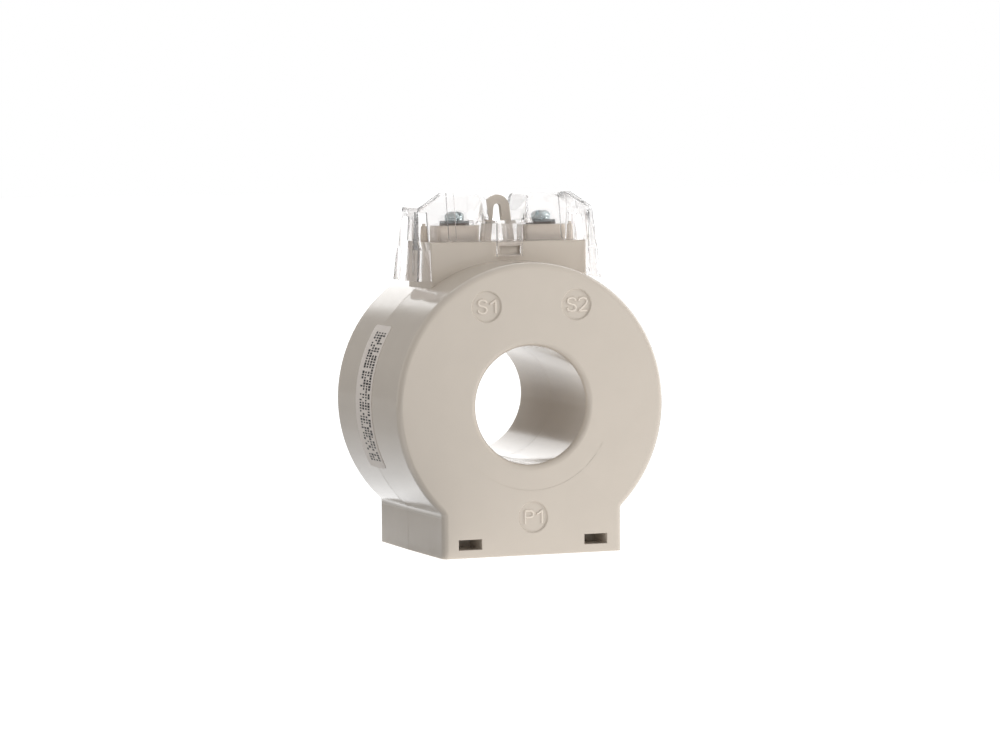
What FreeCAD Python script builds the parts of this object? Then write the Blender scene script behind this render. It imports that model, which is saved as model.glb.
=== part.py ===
"""Ring-type current transformer with a sealable terminal cover.

Millimetres, +Z up, X to the right seen from the front, -Y towards the front.
The origin is under the middle of the foot. The ring's axis runs along Y.
"""
import FreeCAD, Part
import math
import os
import Sketcher

Vector = FreeCAD.Vector
Rotation = FreeCAD.Rotation
Placement = FreeCAD.Placement

# Driving dimensions, all in millimetres or degrees.
SIZES = {
    # Moulded housing
    "ring_radius": 50.8,         # outside of the ring at the parting plane
    "ring_lift": 2.2,            # the ring's lowest line above the foot's underside
    "bore_radius": 21.0,         # the window that the conductor goes through
    "front_depth": 35.0,         # parting plane to the front face
    "rear_depth": 31.0,          # parting plane to the rear face
    "parting": 2.0,              # the parting plane's place along Y
    "draft_angle": 0.7,          # of every outside wall, away from the parting plane
    "wall": 2.4,                 # of both shells
    "face_round": 2.3,           # rounding of the outline at each face
    "bore_round": 2.2,           # rounding of the window at each face
    "seam_bevel": 0.2,           # small bevel of both halves along the seam
    "foot_half": 34.4,           # half the foot's width
    "foot_web_top": 25.0,        # where the foot's block ends inside the ring
    "foot_trim": 1.6,            # the block's overlength under the foot, cut flat
    "foot_round": 2.0,           # where the ring runs into the foot's sides
    "lap_height": 1.2,           # tongue that centres the two shells
    "lap_thick": 1.1,
    "lap_gap": 0.1,
    # Marks on the front face
    "mark_radius": 5.9,
    "mark_depth": 0.4,
    "mark_spread": 17.0,         # upper marks, from the middle
    "mark_rise": 35.2,           # upper marks, above the ring's axis
    "low_mark_height": 13.5,
    "witness_radius": 29.6,      # faint moulding ring round the window
    "witness_width": 0.5,
    "witness_depth": 0.12,
    # Sockets for plug-in feet
    "socket_width": 8.7,
    "socket_height": 3.6,
    "socket_deep": 12.0,
    "socket_inset": 10.6,        # middle of a socket, from the foot's side
    "socket_floor": 2.95,
    "socket_wall": 1.6,
    # Terminal tower
    "tower_half": 30.0,          # half its width
    "tower_deep": 11.4,          # half its depth
    "tower_rise": 6.6,           # its top above the ring's highest line
    "tower_round": 0.8,
    "catch_half": 4.2,           # pocket behind the cover's flap
    "catch_drop": 5.0,           # its floor under the tower's top
    "catch_height": 3.2,
    "catch_depth": 1.2,
    "groove_width": 2.8,         # groove down each end, behind the parting plane
    "groove_depth": 1.5,
    "groove_length": 12.4,
    # Terminal bosses
    "terminal_place": 16.6,      # screw axis, from the middle
    "boss_half": 8.0,            # half a boss's width
    "boss_deep": 4.8,            # half its depth
    "boss_height": 5.5,
    "boss_round": 1.5,
    "well_radius": 4.0,          # post under a boss, round the screw
    "well_drop": 7.0,            # how far the post hangs under the tower's roof
    "well_bore": 2.3,
    # Sealing eye
    "eye_thick": 2.0,
    "eye_foot_half": 6.4,
    "eye_radius": 4.9,
    "eye_rise": 16.3,            # above the tower's top
    "eye_hole_radius": 1.3,
    "eye_hole_rise": 13.0,
    "eye_hole_foot_half": 2.6,
    # Locating pegs on the tower
    "peg_inset": 2.0,            # peg axis, from the tower's end
    "peg_setback": 1.8,          # peg axis in front of the parting plane
    "peg_radius": 1.5,
    "peg_tip_radius": 1.05,
    "peg_height": 5.4,
    "peg_nose_radius": 0.6,
    "peg_nose_height": 0.9,
    # Terminal hardware
    "nut_width": 7.0,
    "nut_height": 3.2,
    "nut_gap": 0.05,
    "screw_radius": 2.0,
    "screw_gap": 0.05,           # thread clearance in the nut
    "screw_length": 11.5,        # under the head
    "screw_tip": 0.6,
    "head_radius": 3.5,
    "head_height": 2.5,
    "head_round": 0.6,
    "slot_width": 1.0,
    "slot_depth": 1.2,
    "cross_length": 4.2,
    "strip_width": 8.2,
    "strip_deep": 8.6,
    "strip_thick": 0.8,
    "strip_leg_width": 3.4,
    "strip_leg_drop": 13.5,      # leg under the strip's top plate
    "strip_leg_gap": 0.1,
    "plate_width": 8.4,
    "plate_thick": 0.8,
    "plate_bore": 2.08,
    "plate_round": 0.5,          # of the plate's corners
    "washer_radius": 3.4,
    "washer_thick": 0.8,
    "washer_split": 0.7,
    # Core and winding
    "core_gap": 0.1,
    "cup_wall": 1.2,
    "winding_thick": 1.6,
    "winding_round": 1.2,
    "tape_thick": 0.5,
    "tube_gap": 0.4,             # between the housing's tube and the tape
    "tape_gap": 1.5,             # between the tape and the ring's outer wall
    "seat_thick": 4.2,           # soft rings at both ends of the winding
    "lead_radius": 1.0,
    "lead_place": 6.5,
    "lead_rise": 4.4,            # where a lead bends over, above the tape
    "lead_bend": 1.9,
    "sleeve_thick": 0.5,
    "sleeve_length": 5.5,
    # Side label
    "label_half": 8.3,           # half its width along Y
    "label_thick": 0.15,
    "label_rise": 33.0,          # degrees above the middle of the ring
    "label_fall": 26.7,          # degrees below
    "label_round": 1.6,
    # Clear terminal cover
    "cover_wall": 1.2,
    "cover_rise": 17.4,          # over the tower's top
    "cover_clear": 0.1,          # over the tower
    "bridge_rise": 7.3,          # the bridge's top over the tower's
    "bridge_half": 7.0,          # half the gap between the domes, at the bridge
    "dome_lean": 1.0,            # how far a dome's inner wall leans back
    "dome_round": 3.0,
    "roof_slope": 8.2,           # run of the sloping roof
    "eave_drop": 5.4,            # its fall
    "eave_reach": 3.4,           # eave beyond the tower's end
    "skirt_reach": 5.4,          # rim beyond the tower's end
    "skirt_gap": 0.35,           # skirt to tower
    "rim_drop": 13.8,            # rim under the tower's top
    "roof_inset": 3.0,           # roof's edge inside the tower's face
    "waist_reach": 0.05,         # waist beyond the tower's face
    "hip_reach": 1.3,
    "hip_drop": 2.6,
    "rim_reach": 2.3,            # rim beyond the tower's face
    "corner_round": 1.6,
    "corner_post": 2.0,          # left standing between a window and the end
    "flap_half": 4.85,
    "flap_drop": 5.5,            # flap's edge under the tower's top
    "flap_gap": 0.25,            # flap to tower face
    "flap_window_half": 4.1,
    "flap_window_drop": 4.7,
    "flap_window_height": 2.9,
    "sill_drop": 2.8,            # lower edge of the cable windows, under the tower's top
    "window_drop": 6.8,          # their upper edge, under the cover's top
    "end_slot_front": -0.5,      # cable slot in each end wall, along Y
    "end_slot_rear": 8.6,
    "end_slot_drop": 8.4,        # its top under the cover's top
    "end_slot_round": 3.0,
    "bead_place": 21.5,          # upright beads on the domes
    "bead_half": 1.4,
    "bead_stand": 0.7,
    "bead_lift": 0.2,            # their lower ends above the tower's top
    "eye_slot_gap": 0.5,         # round the sealing eye
    "gusset_place": 8.2,
    "gusset_height": 5.5,
    "gusset_half": 1.4,
    "gusset_thick": 1.0,
    "tongue_thick": 1.4,         # rib that rides in the tower's end groove
    "tongue_reach": 1.0,
    "tongue_lift": 1.0,          # its end above the groove's floor
}

doc = FreeCAD.newDocument("current_transformer")
sheet = doc.addObject("Spreadsheet::Sheet", "sizes")
for row, (alias, number) in enumerate(SIZES.items(), start=1):
    sheet.set("A%d" % row, alias)
    sheet.set("B%d" % row, str(number))
    sheet.setAlias("B%d" % row, alias)
doc.recompute()


class Size:
    """A length that carries its number and the sheet expression it came from."""

    def __init__(self, number, words):
        self.number = float(number)
        self.words = words

    def __add__(self, other):
        other = as_size(other)
        return Size(self.number + other.number, "(%s + %s)" % (self.words, other.words))

    def __sub__(self, other):
        other = as_size(other)
        return Size(self.number - other.number, "(%s - %s)" % (self.words, other.words))

    def __mul__(self, other):
        other = as_size(other)
        return Size(self.number * other.number, "(%s * %s)" % (self.words, other.words))

    def __truediv__(self, other):
        other = as_size(other)
        return Size(self.number / other.number, "(%s / %s)" % (self.words, other.words))

    def __neg__(self):
        return Size(-self.number, "(0 - %s)" % self.words)

    def __radd__(self, other):
        return as_size(other) + self

    def __rsub__(self, other):
        return as_size(other) - self

    def __rmul__(self, other):
        return as_size(other) * self

    def __float__(self):
        return self.number


def as_size(value):
    if isinstance(value, Size):
        return value
    return Size(value, "(%r)" % float(value))


def root(value):
    return Size(math.sqrt(value.number), "sqrt(%s)" % value.words)


def sized(alias):
    return Size(sheet.get(alias), "sizes.%s" % alias)


def set_size(target, path, value):
    """Give a property its number and bind it to the sheet."""
    value = as_size(value)
    target.setExpression(path, value.words)


def labelled(piece, label):
    piece.Label = label
    return piece


# Sketches and features

ROLES = {"front": "XZ_Plane", "side": "YZ_Plane", "top": "XY_Plane"}


def new_body(name):
    return doc.addObject("PartDesign::Body", name)


def new_sketch(body, name, view, offset=0.0):
    """A sketch on one of the body's own planes, moved by offset along that plane's normal."""
    sketch = body.newObject("Sketcher::SketchObject", name)
    plane = [p for p in body.Origin.OriginFeatures if p.Role == ROLES[view]][0]
    sketch.AttachmentSupport = [(plane, "")]
    sketch.MapMode = "FlatFace"
    set_size(sketch, "AttachmentOffset.Base.z", offset)
    return sketch


def place_point(sketch, line, end, point):
    for axis, value in zip(("DistanceX", "DistanceY"), point):
        value = as_size(value)
        index = sketch.addConstraint(Sketcher.Constraint(axis, -1, 1, line, end, value.number))
        sketch.setExpression("Constraints[%d]" % index, value.words)


def add_polygon(sketch, points):
    first = sketch.GeometryCount
    count = len(points)
    for i in range(count):
        start = points[i]
        stop = points[(i + 1) % count]
        line = Part.LineSegment(Vector(float(start[0]), float(start[1]), 0),
                                Vector(float(stop[0]), float(stop[1]), 0))
        sketch.addGeometry(line, False)
    for i in range(count):
        sketch.addConstraint(Sketcher.Constraint("Coincident", first + i, 2, first + (i + 1) % count, 1))
    for i in range(count):
        place_point(sketch, first + i, 1, points[i])


def add_rectangle(sketch, left, right, low, high):
    add_polygon(sketch, [(left, low), (right, low), (right, high), (left, high)])


def add_circle(sketch, across, up, radius):
    index = sketch.GeometryCount
    radius = as_size(radius)
    centre = Vector(float(across), float(up), 0)
    sketch.addGeometry(Part.Circle(centre, Vector(0, 0, 1), radius.number), False)
    place_point(sketch, index, 3, (across, up))
    rule = sketch.addConstraint(Sketcher.Constraint("Radius", index, radius.number))
    sketch.setExpression("Constraints[%d]" % rule, radius.words)


def add_pad(body, sketch, length, backwards=False, taper=None):
    pad = body.newObject("PartDesign::Pad", sketch.Name + "_pad")
    pad.Profile = sketch
    set_size(pad, "Length", length)
    pad.Reversed = backwards
    if taper is not None:
        set_size(pad, "TaperAngle", taper)
    sketch.Visibility = False
    doc.recompute()
    return pad


def add_pocket(body, sketch, length, backwards=False):
    pocket = body.newObject("PartDesign::Pocket", sketch.Name + "_pocket")
    pocket.Profile = sketch
    set_size(pocket, "Length", length)
    pocket.Reversed = backwards
    doc.recompute()
    return pocket


def add_turning(body, sketch, axis, angle=360.0):
    turning = body.newObject("PartDesign::Revolution", sketch.Name + "_turned")
    turning.Profile = sketch
    turning.ReferenceAxis = (sketch, [axis])
    set_size(turning, "Angle", angle)
    doc.recompute()
    return turning


def edge_names(shape, wanted):
    """Names of the edges that a test on their shape picks."""
    return ["Edge%d" % (i + 1) for i, edge in enumerate(shape.Edges) if wanted(edge)]


def add_dressing(body, kind, wanted, size_name, size):
    """A PartDesign fillet or chamfer on the edges of the body's tip that a test picks."""
    base = body.Tip
    edges = edge_names(base.Shape, wanted)
    if not edges:
        raise RuntimeError("no edges to dress on " + body.Name)
    dressing = body.newObject("PartDesign::" + kind, body.Name + "_" + kind + str(len(body.Group)))
    dressing.Base = (base, edges)
    set_size(dressing, size_name, size)
    doc.recompute()
    if not dressing.isValid():
        raise RuntimeError("the dressing failed on " + body.Name)
    return dressing


def new_box(name, low, high):
    """A box between two corners, each bound to the sheet."""
    box = doc.addObject("Part::Box", name)
    for axis, prop, a, b in zip("xyz", ("Length", "Width", "Height"), low, high):
        set_size(box, prop, as_size(b) - as_size(a))
        set_size(box, "Placement.Base.%s" % axis, a)
    return box


def new_cylinder(name, radius, height, base, turn=None):
    """A cylinder from a base point, upright or turned by a rotation."""
    cylinder = doc.addObject("Part::Cylinder", name)
    set_size(cylinder, "Radius", radius)
    set_size(cylinder, "Height", height)
    if turn is not None:
        cylinder.Placement = Placement(Vector(), turn)
    for axis, value in zip("xyz", base):
        set_size(cylinder, "Placement.Base.%s" % axis, value)
    return cylinder


def joined(name, pieces):
    fused = doc.addObject("Part::MultiFuse", name)
    fused.Shapes = pieces
    fused.Refine = True
    doc.recompute()
    return fused


def cut(name, base, tool):
    trimmed = doc.addObject("Part::Cut", name)
    trimmed.Base = base
    trimmed.Tool = tool
    trimmed.Refine = True
    doc.recompute()
    return trimmed


def shared(name, pieces):
    common = doc.addObject("Part::MultiCommon", name)
    common.Shapes = pieces
    doc.recompute()
    return common


def in_plane_y(edge, y, slack=0.01):
    box = edge.BoundBox
    return abs(box.YMin - y) < slack and abs(box.YMax - y) < slack


# Shared sizes, worked out from the driving ones

ring_radius = sized("ring_radius")
ring_height = ring_radius + sized("ring_lift")
parting = sized("parting")
wall = sized("wall")
front_face = parting - sized("front_depth")
rear_face = parting + sized("rear_depth")
tube_radius = sized("bore_radius") + wall
draft_slope = math.tan(math.radians(SIZES["draft_angle"]))
cavity_radius = ring_radius - wall - sized("front_depth") * draft_slope
tower_half = sized("tower_half")
tower_top = ring_height + ring_radius + sized("tower_rise")
tower_root = ring_height + ring_radius * 0.6
groove_floor = tower_top - sized("groove_length")
boss_top = tower_top + sized("boss_height")
eye_top = tower_top + sized("eye_rise")
eye_hole_top = tower_top + sized("eye_hole_rise")
peg_place = tower_half - sized("peg_inset")
socket_place = sized("foot_half") - sized("socket_inset")
terminal_place = sized("terminal_place")
strip_top = boss_top + sized("strip_thick")
plate_top = strip_top + sized("plate_thick")
washer_top = plate_top + sized("washer_thick")
head_top = washer_top + sized("head_height")

cover_top = tower_top + sized("cover_rise")
bridge_top = tower_top + sized("bridge_rise")
eave_half = tower_half + sized("eave_reach")
eave_height = cover_top - sized("eave_drop")
roof_half = eave_half - sized("roof_slope")
skirt_half = tower_half + sized("skirt_reach")
skirt_inset = tower_half + sized("skirt_gap")
rim_height = tower_top - sized("rim_drop")
roof_deep = sized("tower_deep") - sized("roof_inset")
waist_deep = sized("tower_deep") + sized("waist_reach")
hip_deep = sized("tower_deep") + sized("hip_reach")
rim_deep = sized("tower_deep") + sized("rim_reach")
flap_floor = tower_top - sized("flap_drop")
flap_window_floor = tower_top - sized("flap_window_drop")
sill_height = tower_top - sized("sill_drop")
window_outer = skirt_half - sized("corner_post")
window_top = cover_top - sized("window_drop")
end_slot_top = cover_top - sized("end_slot_drop")
bead_floor = tower_top + sized("bead_lift")


# Housing shells

def shell_body(name, depth, is_front):
    """One half of the housing, from the parting plane out to its face."""
    body = new_body(name + "_moulding")
    face = front_face if is_front else rear_face
    seam = -parting
    outwards = not is_front
    inwards = is_front
    taper = -sized("draft_angle")

    ring = new_sketch(body, name + "_ring", "front", seam)
    add_circle(ring, 0, ring_height, ring_radius)
    add_pad(body, ring, depth, outwards, taper)

    foot = new_sketch(body, name + "_foot", "front", seam)
    add_rectangle(foot, -sized("foot_half"), sized("foot_half"), -sized("foot_trim"), sized("foot_web_top"))
    add_pad(body, foot, depth, outwards, taper)

    junction = float(ring_height) - math.sqrt(float(ring_radius) ** 2 - float(sized("foot_half")) ** 2)

    def foot_junction(edge):
        box = edge.BoundBox
        at_side = min(abs(box.XMin), abs(box.XMax)) > float(sized("foot_half")) - 1
        return at_side and box.YLength > 5 and abs(box.ZMin - junction) < 1 and box.ZLength < 1

    add_dressing(body, "Fillet", foot_junction, "Radius", sized("foot_round"))
    add_dressing(body, "Fillet", lambda e: in_plane_y(e, float(face)), "Radius", sized("face_round"))

    flat = new_sketch(body, name + "_flat", "front", seam)
    add_rectangle(flat, -ring_radius, ring_radius, -ring_radius, 0)
    add_pocket(body, flat, depth, inwards)

    tower = new_sketch(body, name + "_tower", "front", seam)
    add_rectangle(tower, -tower_half, tower_half, tower_root, tower_top)
    reach = parting + sized("tower_deep") if is_front else sized("tower_deep") - parting
    add_pad(body, tower, reach, outwards, taper)
    y_face = -float(sized("tower_deep")) if is_front else float(sized("tower_deep"))
    half = float(tower_half)
    above_ring = float(ring_height)

    def tower_corner(edge):
        box = edge.BoundBox
        on_face = in_plane_y(edge, y_face)
        upper = box.ZMin > above_ring
        wide = box.XLength > 1.5 * half and box.ZLength < 0.1
        upright = box.ZLength > 5 and box.XLength < 0.1
        return on_face and upper and (wide or upright)

    add_dressing(body, "Fillet", tower_corner, "Radius", sized("tower_round"))

    boss = new_sketch(body, name + "_boss", "front", seam)
    for side in (-1, 1):
        middle = side * terminal_place
        add_rectangle(boss, middle - sized("boss_half"), middle + sized("boss_half"),
                      tower_top - wall, boss_top)
    boss_reach = parting + sized("boss_deep") if is_front else sized("boss_deep") - parting
    add_pad(body, boss, boss_reach, outwards)
    y_boss = -float(sized("boss_deep")) if is_front else float(sized("boss_deep"))

    def boss_corner(edge):
        box = edge.BoundBox
        upright = box.ZLength > 1 and box.XLength < 0.01 and box.YLength < 0.01
        return upright and abs(box.YMin - y_boss) < 0.01 and box.ZMin > float(tower_top) - 1

    add_dressing(body, "Fillet", boss_corner, "Radius", sized("boss_round"))

    cavity = new_sketch(body, name + "_cavity", "front", seam)
    add_circle(cavity, 0, ring_height, cavity_radius)
    add_circle(cavity, 0, ring_height, tube_radius)
    add_pocket(body, cavity, depth - wall, inwards)

    attic = new_sketch(body, name + "_attic", "front", seam)
    inner_half = tower_half - wall - sized("groove_depth")
    add_rectangle(attic, -inner_half, inner_half, ring_height + tube_radius + wall, tower_top - wall)
    add_pocket(body, attic, reach - wall, inwards)

    corner = new_sketch(body, name + "_corner", "front", seam)
    inner_foot = sized("foot_half") - wall - 1
    low = wall
    rib_radius = ring_radius + 0.4
    for side in (-1, 1):
        near = side * (sized("foot_half") * 0.42)
        far = side * inner_foot
        near_drop = root(rib_radius * rib_radius - near * near)
        far_drop = root(rib_radius * rib_radius - far * far)
        add_polygon(corner, [(near, low), (far, low), (far, ring_height - far_drop),
                             (near, ring_height - near_drop)])
    add_pocket(body, corner, depth - wall, inwards)

    bore = new_sketch(body, name + "_bore", "front", seam)
    add_circle(bore, 0, ring_height, sized("bore_radius"))
    add_pocket(body, bore, depth, inwards)
    bore_reach = float(sized("bore_radius")) + 0.01

    def bore_rim(edge):
        inside = edge.BoundBox.XLength < 2 * bore_reach
        above = edge.BoundBox.ZMin > float(ring_height) - bore_reach - 0.01
        return in_plane_y(edge, float(face)) and inside and above

    add_dressing(body, "Fillet", bore_rim, "Radius", sized("bore_round"))

    def seam_outline(edge):
        if not in_plane_y(edge, float(parting)):
            return False
        middle = edge.valueAt((edge.FirstParameter + edge.LastParameter) / 2)
        spread = math.hypot(middle.x, middle.z - float(ring_height))
        on_ring = abs(spread - float(ring_radius)) < 0.05
        low = middle.z < float(ring_height)
        on_foot_side = low and abs(abs(middle.x) - float(sized("foot_half"))) < 0.05
        on_tower_side = not low and abs(abs(middle.x) - float(tower_half)) < 0.05
        return on_ring or on_foot_side or on_tower_side

    add_dressing(body, "Chamfer", seam_outline, "Size", sized("seam_bevel"))
    return body


def socket_block(side, is_front):
    """Walls round one foot socket, inside the hollow foot."""
    middle = side * socket_place
    half = sized("socket_width") / 2 + sized("socket_wall")
    low = 0.5 * wall
    high = sized("socket_floor") + sized("socket_height") + sized("socket_wall")
    if is_front:
        near = front_face + 0.5 * wall
        far = front_face + sized("socket_deep") + sized("socket_wall")
    else:
        near = rear_face - sized("socket_deep") - sized("socket_wall")
        far = rear_face - 0.5 * wall
    name = "socket_block_%s_%s" % ("front" if is_front else "rear", "left" if side < 0 else "right")
    return new_box(name, (middle - half, near, low), (middle + half, far, high))


def socket_cut(side, is_front):
    middle = side * socket_place
    half = sized("socket_width") / 2
    low = sized("socket_floor")
    if is_front:
        near = front_face - 1
        far = front_face + sized("socket_deep")
    else:
        near = rear_face - sized("socket_deep")
        far = rear_face + 1
    name = "socket_%s_%s" % ("front" if is_front else "rear", "left" if side < 0 else "right")
    return new_box(name, (middle - half, near, low), (middle + half, far, low + sized("socket_height")))


def half_space(name, is_front):
    """Everything on one side of the parting plane."""
    reach = 3 * ring_radius
    near = -reach if is_front else parting
    far = parting if is_front else reach
    return new_box(name, (-reach, near, -reach), (reach, far, reach))


def well_post(side, name):
    """Post under a boss that holds the end of the screw."""
    drop = sized("well_drop") + wall
    return new_cylinder(name, sized("well_radius"), drop,
                        (side * terminal_place, 0, tower_top - drop))


def terminal_cuts(side, name):
    """Screw well, nut pocket and leg slot, cut down from a boss's top."""
    middle = side * terminal_place
    drop = sized("well_drop") + sized("boss_height") + wall - 1
    well = new_cylinder(name + "_well", sized("well_bore"), drop + 1, (middle, 0, boss_top - drop))
    half = sized("nut_width") / 2 + sized("nut_gap")
    pocket = new_box(name + "_pocket", (middle - half, -half, boss_top - sized("nut_height")),
                     (middle + half, half, boss_top + 1))
    leg_half = sized("strip_leg_width") / 2 + sized("strip_leg_gap")
    leg_face = sized("strip_deep") / 2 + sized("strip_leg_gap")
    leg = new_box(name + "_leg_slot", (middle - leg_half, half - 0.1, boss_top - drop - 2),
                  (middle + leg_half, leg_face, boss_top + 1))
    return [well, pocket, leg]


def sealing_eye():
    """Tapered arch with a tall hole, on the front half of the tower."""
    body = new_body("sealing_eye")
    sketch = new_sketch(body, "eye_outline", "front", -parting)
    low = tower_top - 0.5 * wall
    centre = eye_top - sized("eye_radius")
    add_polygon(sketch, [(-sized("eye_foot_half"), low), (sized("eye_foot_half"), low),
                         (sized("eye_radius"), centre), (-sized("eye_radius"), centre)])
    add_pad(body, sketch, sized("eye_thick"))
    crown = new_sketch(body, "eye_crown", "front", -parting)
    add_circle(crown, 0, centre, sized("eye_radius"))
    add_pad(body, crown, sized("eye_thick"))
    hole = new_sketch(body, "eye_hole", "front", -parting)
    hole_centre = eye_hole_top - sized("eye_hole_radius")
    add_polygon(hole, [(-sized("eye_hole_foot_half"), tower_top), (sized("eye_hole_foot_half"), tower_top),
                       (sized("eye_hole_radius"), hole_centre), (-sized("eye_hole_radius"), hole_centre)])
    add_pocket(body, hole, sized("eye_thick"), True)
    hole_crown = new_sketch(body, "eye_hole_crown", "front", -parting)
    add_circle(hole_crown, 0, hole_centre, sized("eye_hole_radius"))
    add_pocket(body, hole_crown, sized("eye_thick"), True)
    return body


def locating_peg(side, name):
    """Tapered peg with a small nose, near one end of the tower."""
    base = (side * peg_place, parting - sized("peg_setback"), tower_top - 0.5 * wall)
    cone = doc.addObject("Part::Cone", name + "_cone")
    set_size(cone, "Radius1", sized("peg_radius"))
    set_size(cone, "Radius2", sized("peg_tip_radius"))
    set_size(cone, "Height", sized("peg_height") + 0.5 * wall)
    for axis, value in zip("xyz", base):
        set_size(cone, "Placement.Base.%s" % axis, value)
    nose = new_cylinder(name + "_nose", sized("peg_nose_radius"),
                        sized("peg_height") + 0.5 * wall + sized("peg_nose_height"), base)
    return [cone, nose]


def front_marks():
    """Recessed discs and the faint ring on the front face."""
    turn = Rotation(Vector(1, 0, 0), 90)
    bottom = front_face + sized("mark_depth")
    discs = []
    for name, across, up in (("upper_left_mark", -sized("mark_spread"), ring_height + sized("mark_rise")),
                             ("upper_right_mark", sized("mark_spread"), ring_height + sized("mark_rise")),
                             ("lower_mark", as_size(0), sized("low_mark_height"))):
        discs.append(new_cylinder(name, sized("mark_radius"), sized("mark_depth") + 1,
                                  (across, bottom, up), turn))
    outer = new_cylinder("witness_outer", sized("witness_radius") + sized("witness_width"),
                         sized("witness_depth") + 1,
                         (0, front_face + sized("witness_depth"), ring_height), turn)
    inner = new_cylinder("witness_inner", sized("witness_radius"), sized("witness_depth") + 3,
                         (0, front_face + sized("witness_depth") + 1, ring_height), turn)
    return discs + [cut("witness_ring", outer, inner)]


def lap_ring(name, grow):
    """Ring in the outer half of the tube's wall, on the front shell, or its relief in the rear one."""
    turn = Rotation(Vector(1, 0, 0), -90)
    outer = new_cylinder(name + "_outer", tube_radius + grow, sized("lap_height") + grow + 1,
                         (0, parting - 1, ring_height), turn)
    inner = new_cylinder(name + "_inner", tube_radius - sized("lap_thick") - grow,
                         sized("lap_height") + 3, (0, parting - 2, ring_height), turn)
    return cut(name + "_ring", outer, inner)


def catch_pocket():
    low = tower_top - sized("catch_drop")
    return new_box("catch_pocket", (-sized("catch_half"), -sized("tower_deep") - 1, low),
                   (sized("catch_half"), -sized("tower_deep") + sized("catch_depth"),
                    low + sized("catch_height")))


def end_groove(side):
    """Groove down one end of the tower, just behind the parting plane."""
    inner = tower_half - sized("groove_depth")
    outer = tower_half + 1
    left = inner if side > 0 else -outer
    right = outer if side > 0 else -inner
    name = "end_groove_left" if side < 0 else "end_groove_right"
    return new_box(name, (left, parting, groove_floor),
                   (right, parting + sized("groove_width"), tower_top + 1))


def make_shells():
    posts = joined("well_posts", [well_post(-1, "well_post_left"), well_post(1, "well_post_right")])
    drills = joined("terminal_cuts", terminal_cuts(-1, "left") + terminal_cuts(1, "right"))
    pegs = locating_peg(-1, "left_peg") + locating_peg(1, "right_peg")

    front_posts = shared("front_posts", [posts, half_space("front_space", True)])
    front_parts = [shell_body("front", sized("front_depth"), True), front_posts, sealing_eye(),
                   lap_ring("tongue", as_size(0))]
    front_parts += pegs + [socket_block(-1, True), socket_block(1, True)]
    front_solid = joined("front_solid", front_parts)
    front_tools = [drills, catch_pocket(), socket_cut(-1, True), socket_cut(1, True)] + front_marks()
    front = cut("front_cut", front_solid, joined("front_tools", front_tools))

    rear_posts = shared("rear_posts", [posts, half_space("rear_space", False)])
    rear_parts = [shell_body("rear", sized("rear_depth"), False), rear_posts]
    rear_parts += [socket_block(-1, False), socket_block(1, False)]
    rear_solid = joined("rear_solid", rear_parts)
    rear_tools = [lap_ring("relief", sized("lap_gap")), drills, end_groove(-1), end_groove(1)]
    rear_tools += [socket_cut(-1, False), socket_cut(1, False)]
    rear = cut("rear_cut", rear_solid, joined("rear_tools", rear_tools))
    return [labelled(front, "front_shell"), labelled(rear, "rear_shell")]


# Terminal hardware

def make_nut(side, tag):
    middle = side * terminal_place
    half = sized("nut_width") / 2
    block = new_box("nut_block_" + tag, (middle - half, -half, boss_top - sized("nut_height")),
                    (middle + half, half, boss_top))
    hole = new_cylinder("nut_hole_" + tag, sized("screw_radius") + sized("screw_gap"),
                        sized("nut_height") + 2, (middle, 0, boss_top - sized("nut_height") - 1))
    return labelled(cut("nut_" + tag, block, hole), "terminal_nut_" + tag)


def make_strip(side, tag):
    """Brass strip: a square top plate with a leg bent down behind the nut."""
    middle = side * terminal_place
    rear = sized("strip_deep") / 2
    thick = sized("strip_thick")
    body = new_body("strip_body_" + tag)
    outline = new_sketch(body, "strip_outline_" + tag, "top", boss_top)
    half = sized("strip_width") / 2
    add_rectangle(outline, middle - half, middle + half, -rear, rear)
    add_circle(outline, middle, 0, sized("plate_bore"))
    add_pad(body, outline, thick)
    leg = new_sketch(body, "strip_leg_" + tag, "top", strip_top)
    leg_half = sized("strip_leg_width") / 2
    add_rectangle(leg, middle - leg_half, middle + leg_half, rear - thick + 0.1, rear)
    add_pad(body, leg, sized("strip_leg_drop"), True)
    return labelled(body, "terminal_strip_" + tag)


def make_plate(side, tag):
    """Square clamp plate between the spring washer and the strip."""
    middle = side * terminal_place
    body = new_body("plate_body_" + tag)
    outline = new_sketch(body, "plate_outline_" + tag, "top", strip_top)
    half = sized("plate_width") / 2
    add_rectangle(outline, middle - half, middle + half, -half, half)
    add_circle(outline, middle, 0, sized("plate_bore"))
    add_pad(body, outline, sized("plate_thick"))

    def corner(edge):
        return edge.BoundBox.ZLength > 0.1 and edge.BoundBox.XLength < 0.01 and edge.BoundBox.YLength < 0.01

    add_dressing(body, "Fillet", corner, "Radius", sized("plate_round"))
    return labelled(body, "clamp_plate_" + tag)


def make_washer(side, tag):
    """Split spring washer."""
    middle = side * terminal_place
    body = new_body("washer_body_" + tag)
    outline = new_sketch(body, "washer_outline_" + tag, "top", plate_top)
    add_circle(outline, middle, 0, sized("washer_radius"))
    add_circle(outline, middle, 0, sized("plate_bore"))
    add_pad(body, outline, sized("washer_thick"))
    split = new_sketch(body, "washer_split_" + tag, "top", washer_top)
    half = sized("washer_split") / 2
    add_rectangle(split, middle - half, middle + half, -sized("washer_radius") - 1, 0)
    add_pocket(body, split, sized("washer_thick"))
    return labelled(body, "spring_washer_" + tag)


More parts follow.
